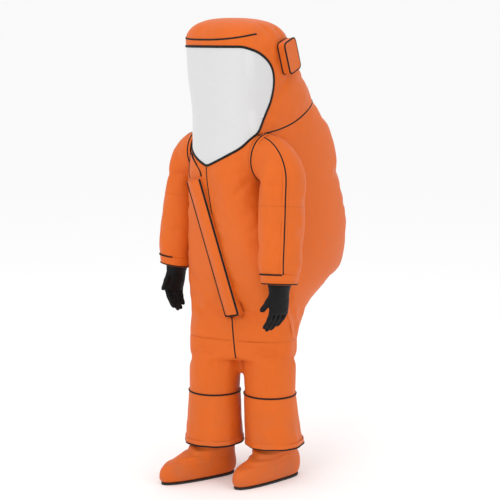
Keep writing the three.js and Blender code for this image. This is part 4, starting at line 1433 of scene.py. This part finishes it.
def foot_point(side, turn, z, grow=0.0):
    sine, cosine = math.sin(turn), math.cos(turn)
    square = 2 + (FOOT_SQUARENESS - 2) * min(1, max(0, (SOCK_TOP - z) / 80))
    x = (through(FOOT, "side", z) + grow) * power(sine, square)
    y = -(through(FOOT, "toe" if cosine > 0 else "heel", z) + grow) * power(cosine, square)
    fade = min(1, max(0, (SOCK_TOP - z) / 60))
    out = math.radians(TOE_OUT) * SIDES[side] * fade
    middle = leg_middle(side, max(z, 96))
    turned = Vector((x * math.cos(out) - y * math.sin(out), x * math.sin(out) + y * math.cos(out), 0))
    return Vector((middle.x, middle.y, z * MM)) + turned * MM


def sock_mesh(side):
    bm = tube(72, 44, lambda turn, along: foot_point(side, turn, SOCK_LOW + (SOCK_TOP - SOCK_LOW) * along))
    bm = remeshed(bm, 0.0055, 5)
    ankle = leg_middle(side, 110)
    for v in bm.verts:
        p = v.co
        rise = max(0.0, 1 - abs(p.z - 0.115) / 0.06)
        front = max(0.0, min(1.0, (ankle.y - p.y) / 0.08 + 0.4))
        fold = math.sin(p.z * 260 + noise.noise(p * 14) * 3.2)
        puff = noise.noise(p * 16)
        low = max(0.0, min(1.0, (p.z - 0.016) / 0.03))
        p += v.normal * low * (fold * ANKLE_FOLD * rise * front + puff * SOCK_PUFF)
    top = [f for f in bm.faces if f.calc_center_median().z > 0.172]
    bmesh.ops.delete(bm, geom=top, context="FACES")
    return bm


for side in SIDES:
    sock = subdivided(made_object("boot_sock_" + side, sock_mesh(side), suit_fabric))
    part(sock, "suit", "suit_fabric", "sock_" + side)
    print(side, "sock", len(sock.data.polygons), "faces")

# %% [markdown]
# ## Splash flaps over the boots
# From a seam at the shin a skirt of fabric hangs outside the boot, so that nothing runs into it.
# It is flared and closed with a dark hem, which rides on a body of its own.

# %% Splash flaps
FLAP_RADII = [dict(zip(("z", "radius"), row)) for row in ((150, 122), (230, 116), (372, 107.5))]
FLAP_LOW, FLAP_HIGH = 160, 372


def flap_radius(z):
    return through(FLAP_RADII, "radius", z)


def flap_wave(side, turn, z):
    """How far the skirt swings in and out: nothing at its seam, and more towards its hem."""
    fall = (FLAP_HIGH - z) / (FLAP_HIGH - FLAP_LOW)
    shift = 0.6 if side == "left" else 2.1
    return fall * (2.6 * math.sin(5 * turn + shift) + 1.4 * math.sin(11 * turn + 2 * shift))


def flap_point(side, turn, z, grow=0.0):
    radius = flap_radius(z) + flap_wave(side, turn, z) + grow
    return leg_middle(side, z) + Vector((math.sin(turn), -math.cos(turn), 0)) * radius * MM


def flap_mesh(side):
    span = FLAP_HIGH - FLAP_LOW
    bm = tube(72, 26, lambda turn, along: flap_point(side, turn, FLAP_LOW + span * along))
    ends = [f for f in bm.faces if len(f.verts) > 4]
    bmesh.ops.delete(bm, geom=ends, context="FACES_ONLY")
    for v in bm.verts:
        rise = (v.co.z / MM - FLAP_LOW) / span
        v.co += v.normal * noise.noise(v.co * 18) * 0.0035 * (1 - rise)
    return bm


def ring_line(side, z, grow, count=84):
    """A ring round the skirt with its outward direction."""
    pairs = []
    for i in range(count):
        turn = math.tau * i / count
        p = flap_point(side, turn, z, grow)
        pairs.append((p, (p - leg_middle(side, z)).normalized()))
    return pairs


for side in SIDES:
    anchor = leg_middle(side, FLAP_HIGH)
    skirt = made_object("splash_flap_" + side, flap_mesh(side), suit_fabric)
    part(walled(subdivided(skirt), FABRIC), "suit", "suit_fabric", "boot_flap_" + side)
    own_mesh(skirt)
    hem_ring = ring_line(side, 161, 0.6)
    band = strip("splash_hem_" + side, hem_ring, 0.024, 0.0016, seam_tape, FLAT, True)
    part(band, side + "_boot_hem", "suit_fabric", "boot_hem_" + side)
    for name, body, z, width in (
        ("splash_hem_edge_", side + "_boot_hem", 152, 0.0085),
        ("splash_seam_", "suit", 367, BINDING_WIDTH),
    ):
        line = strip(name + side, ring_line(side, z, 0.4), width, 0.0028, binding, ROUNDED, True)
        part(line, body, "hem_tape")
    print(side, "skirt", len(skirt.data.polygons), "faces")

# %% [markdown]
# ## The storm flap over the zip
# A long strip of fabric arches over the zip and keeps splashes off it. Dark bindings edge it on
# both sides and at its foot. It is sewn on at its edge at the wearer's right. A
# second, shaped flap carries it up to the visor. Underneath lie the zip's own parts from the
# frame.


# %% Zip frame and flap
def zip_point(across, out, up):
    return ZIP_BOTTOM + ZIP_ACROSS * across + ZIP_OUT * out + ZIP_UP * up


def flap_height(u):
    """The flap's arch over the zip, from its edge (-1) to the other (1), in metres."""
    return 0.0046 + 0.0124 * math.cos(math.pi / 2 * u) ** 1.25


def storm_flap_mesh():
    bm = bmesh.new()
    bmesh.ops.create_grid(bm, x_segments=14, y_segments=90, size=1)
    for v in bm.verts:
        u, t = v.co.x, (v.co.y + 1) / 2
        pucker = noise.noise(Vector((u * 1.5, t * 16, 0))) * 0.0013 * (1 - u * u)
        v.co = zip_point(u * FLAP_HALF, flap_height(u) + pucker, t * ZIP_LENGTH)
    bm.normal_update()
    bm.faces.ensure_lookup_table()
    if bm.faces[0].normal.dot(ZIP_OUT) < 0:
        bmesh.ops.reverse_faces(bm, faces=bm.faces)
    return bm


storm = made_object("storm_flap_cloth", storm_flap_mesh(), suit_fabric)
walled(subdivided(storm), 0.0028)
part(storm, "storm_flap", "suit_fabric", "storm_flap")


EDGE_AT = 0.95  # where the bindings lie, as a share of the flap's half width
EDGE_LIFT, EDGE_HEIGHT = 0.0006, 0.0024


def flap_edge(name, points):
    pairs = [(p, ZIP_OUT) for p in points]
    part(strip(name, pairs, BINDING_WIDTH, EDGE_HEIGHT, binding), "storm_flap", "hem_tape")


rows = [ZIP_LENGTH * i / 70 for i in range(71)]
for name, u in (("storm_flap_edge_left", -EDGE_AT), ("storm_flap_edge_right", EDGE_AT)):
    flap_edge(name, [zip_point(u * FLAP_HALF, flap_height(u) + EDGE_LIFT, up) for up in rows])
across = [EDGE_AT * (2 * i / 24 - 1) for i in range(25)]
foot_line = [zip_point(u * FLAP_HALF, flap_height(u) + EDGE_LIFT, 0.003) for u in across]
flap_edge("storm_flap_foot", foot_line)
print("storm flap", round(ZIP_LENGTH, 3), "m long")

# %% [markdown]
# ## The flap's upper end, and the placket
# Between the storm flap and the visor lies a shaped flap of doubled fabric, which is the body's
# own front again, raised a little. The placket below the zip is a padded strip. It is a copy of
# the frame's solid, melted a little so that its edges are round, as stitched fabric has.


# %% Soft copies
def soft_copy(name, node, voxel, smooth, material):
    """A rounded copy of a frame node."""
    bm = bmesh.new()
    bm.from_mesh(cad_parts[node].data)
    bmesh.ops.remove_doubles(bm, verts=bm.verts, dist=1e-5)
    return made_object(name, remeshed(bm, voxel, smooth), material)


placket = soft_copy("placket", "zip_placket", 0.0022, 4, suit_fabric)
part(placket, "suit", "suit_fabric", "zip_placket")
print("placket", len(placket.data.polygons), "faces")

# %% The flap's upper end
COLLAR = (
    (-116.7, 1256), (-32.5, 1273), (-38, 1296), (-66, 1321), (-100, 1344),
    (-126, 1362), (-143, 1350), (-138, 1310), (-128, 1274),
)


def collar_patch():
    """The body's own front, raised, inside the flap's outline."""
    bm = body_tube(1230, 260, 150, 2, grow=4.0)
    ring = [Vector((x * MM, 0, z * MM)) for x, z in COLLAR]

    def inside(p):
        crossings = 0
        for a, b in zip(ring, ring[1:] + ring[:1]):
            if (a.z > p.z) != (b.z > p.z) and p.x < a.x + (b.x - a.x) * (p.z - a.z) / (b.z - a.z):
                crossings += 1
        return crossings % 2 == 1 and p.y < -0.18

    away = [f for f in bm.faces if not inside(f.calc_center_median())]
    bmesh.ops.delete(bm, geom=away, context="FACES")
    edge = [body_point_at(x, z, 4.0) for x, z in COLLAR]
    tree = nearest_tree(evenly(edge, 0.0015, True))
    for v in bm.verts:
        if v.is_boundary:
            place, _, distance = tree.find(v.co)
            if distance < 0.012:
                v.co = place
    return bm, edge


def body_point_at(x, z, grow):
    turn = solved(lambda a: body_point(a, z, grow).x - x * MM, -math.pi / 2, math.pi / 2)
    return body_point(turn, z, grow)


collar_mesh, collar_edge = collar_patch()
collar = walled(made_object("flap_top_cloth", collar_mesh, suit_fabric), 0.0035)
part(collar, "suit", "suit_fabric", "storm_flap_top")
collar_tree = BVHTree.FromPolygons(
    [v.co.copy() for v in collar.data.vertices], [p.vertices[:] for p in collar.data.polygons]
)
for name, ends in (("flap_top_edge_left", (1, 2, 3, 4, 5)), ("flap_top_edge_right", (6, 7, 8, 0))):
    raw = laid_on(evenly([collar_edge[i] for i in ends], 0.006), collar_tree, 0.0002)
    part(strip(name, softened(raw, 2), BINDING_WIDTH, EDGE_HEIGHT, binding), "suit", "hem_tape")
print("upper flap", len(collar.data.polygons), "faces")

# %% [markdown]
# ## Exhaust valves and their covers
# Air leaves through a rubber valve on each side of the hood. A fabric-covered rubber hood shields
# it. The cover is a rounded box that leans on the hood; a dark bead runs round its outer edge and
# round its foot. The valve inside is the frame's own, in black rubber with a pale silicone disc.

# %% Valve covers
VALVE_TURN, VALVE_Z = math.radians(118), 1768  # round from the front, and how high
DISC_LIFT = 0.0071  # from the cloth to the middle of the valve's disc
COVER = {"half": 50, "up": 44, "down": 84, "depth": 38, "corner": 18, "foot": 5}


def valve_axes(step=0.02, rise=30):
    """The left valve's own axes: across the hood, up it, and out of it."""
    around = body_point(VALVE_TURN + step, VALVE_Z) - body_point(VALVE_TURN - step, VALVE_Z)
    up = body_point(VALVE_TURN, VALVE_Z + rise) - body_point(VALVE_TURN, VALVE_Z - rise)
    up.normalize()
    across = (around - up * around.dot(up)).normalized()
    return across, up, across.cross(up)


def valve_centre():
    """The valve's middle on the cloth, which lies just under its disc."""
    low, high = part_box("valve_disc_left")
    return (low + high) / 2 - VALVE_OUT * DISC_LIFT


VALVE_ACROSS, VALVE_UP, VALVE_OUT = valve_axes()
VALVE_CENTRE = valve_centre()
print("valve points", [round(c, 5) for c in VALVE_OUT], "and up", [round(c, 5) for c in VALVE_UP])


def cover_rim(inset, height):
    """The cover's rounded outline at a height over the hood."""
    out = []
    for sx, sy, start in ((-1, -1, 180), (1, -1, 270), (1, 1, 0), (-1, 1, 90)):
        radius = COVER["corner"] - inset * 0.4
        cx = sx * (COVER["half"] - inset - radius)
        edge = COVER["up"] if sy > 0 else COVER["down"]
        cy = sy * (edge - inset - radius)
        for i in range(9):
            a = math.radians(start + 90 * i / 8)
            x, y = cx + radius * math.cos(a), cy + radius * math.sin(a)
            out.append(VALVE_CENTRE + VALVE_ACROSS * x * MM + VALVE_UP * y * MM + VALVE_OUT * height * MM)
    return out


for side in SIDES:
    cover = soft_copy("valve_cover_shell_" + side, "valve_cover_" + side, 0.0022, 5, cover_fabric)
    part(cover, side + "_valve_cover", "cover_fabric", "valve_cover_" + side)
    bead = [on_side(p, side) for p in evenly(cover_rim(0.8, COVER["depth"] - 1.5), 0.005, True)]
    middle = sum(bead, Vector()) / len(bead)
    outward = on_side(VALVE_OUT, side)
    pairs = [(p, ((p - middle).normalized() + outward).normalized()) for p in bead]
    rim = strip("valve_cover_bead_" + side, pairs, 0.0065, 0.0024, binding, ROUNDED, True)
    part(rim, side + "_valve_cover", "hem_tape")
    base = [on_side(p, side) for p in evenly(cover_rim(-0.2, COVER["foot"]), 0.005, True)]
    middle = sum(base, Vector()) / len(base)
    pairs = [(p, (p - middle).normalized()) for p in base]
    foot = strip("valve_cover_foot_" + side, pairs, 0.0065, 0.0022, binding, ROUNDED, True)
    part(foot, side + "_valve_cover", "hem_tape")
    print(side, "valve cover", len(cover.data.polygons), "faces")

# %% [markdown]
# ## Finishes for the frame's hard parts
# The soles, valve parts, glove rings, clamps and the zip are hard and already have their true
# shape. They stay, with a softened edge, and get their finishes.

# %% Hard parts
FINISHES = {
    "sole": sole_rubber,
    "valve_seat": valve_rubber,
    "valve_disc": valve_silicone,
    "valve_nut": grey_plastic,
    "glove_ring": grey_plastic,
    "glove_clamp": clamp_steel,
}
hard = {f"{name}_{side}": finish for name, finish in FINISHES.items() for side in SIDES}
hard |= {name: zip_metal for name in ("zip_chain", "zip_stop_bottom", "zip_stop_top", "zip_slider")}
hard |= {name: webbing for name in ("zip_tape", "zip_pull", "grip_strip_placket", "grip_strip_flap")}
for name, finish in hard.items():
    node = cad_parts[name]
    node.data.materials.clear()
    node.data.materials.append(finish)
    edge = node.modifiers.new("edge", "BEVEL")
    edge.width = 0.0006
    edge.segments = 2
print("finished", len(hard), "hard parts")

# %% [markdown]
# ## Floor
# The suit stands on a plain pale floor.

# %% Floor
floor_mesh = bmesh.new()
bmesh.ops.create_grid(floor_mesh, x_segments=1, y_segments=1, size=400)
floor = made_object("floor", floor_mesh, floor_paint.material)
print("floor", len(floor.data.polygons), "faces")
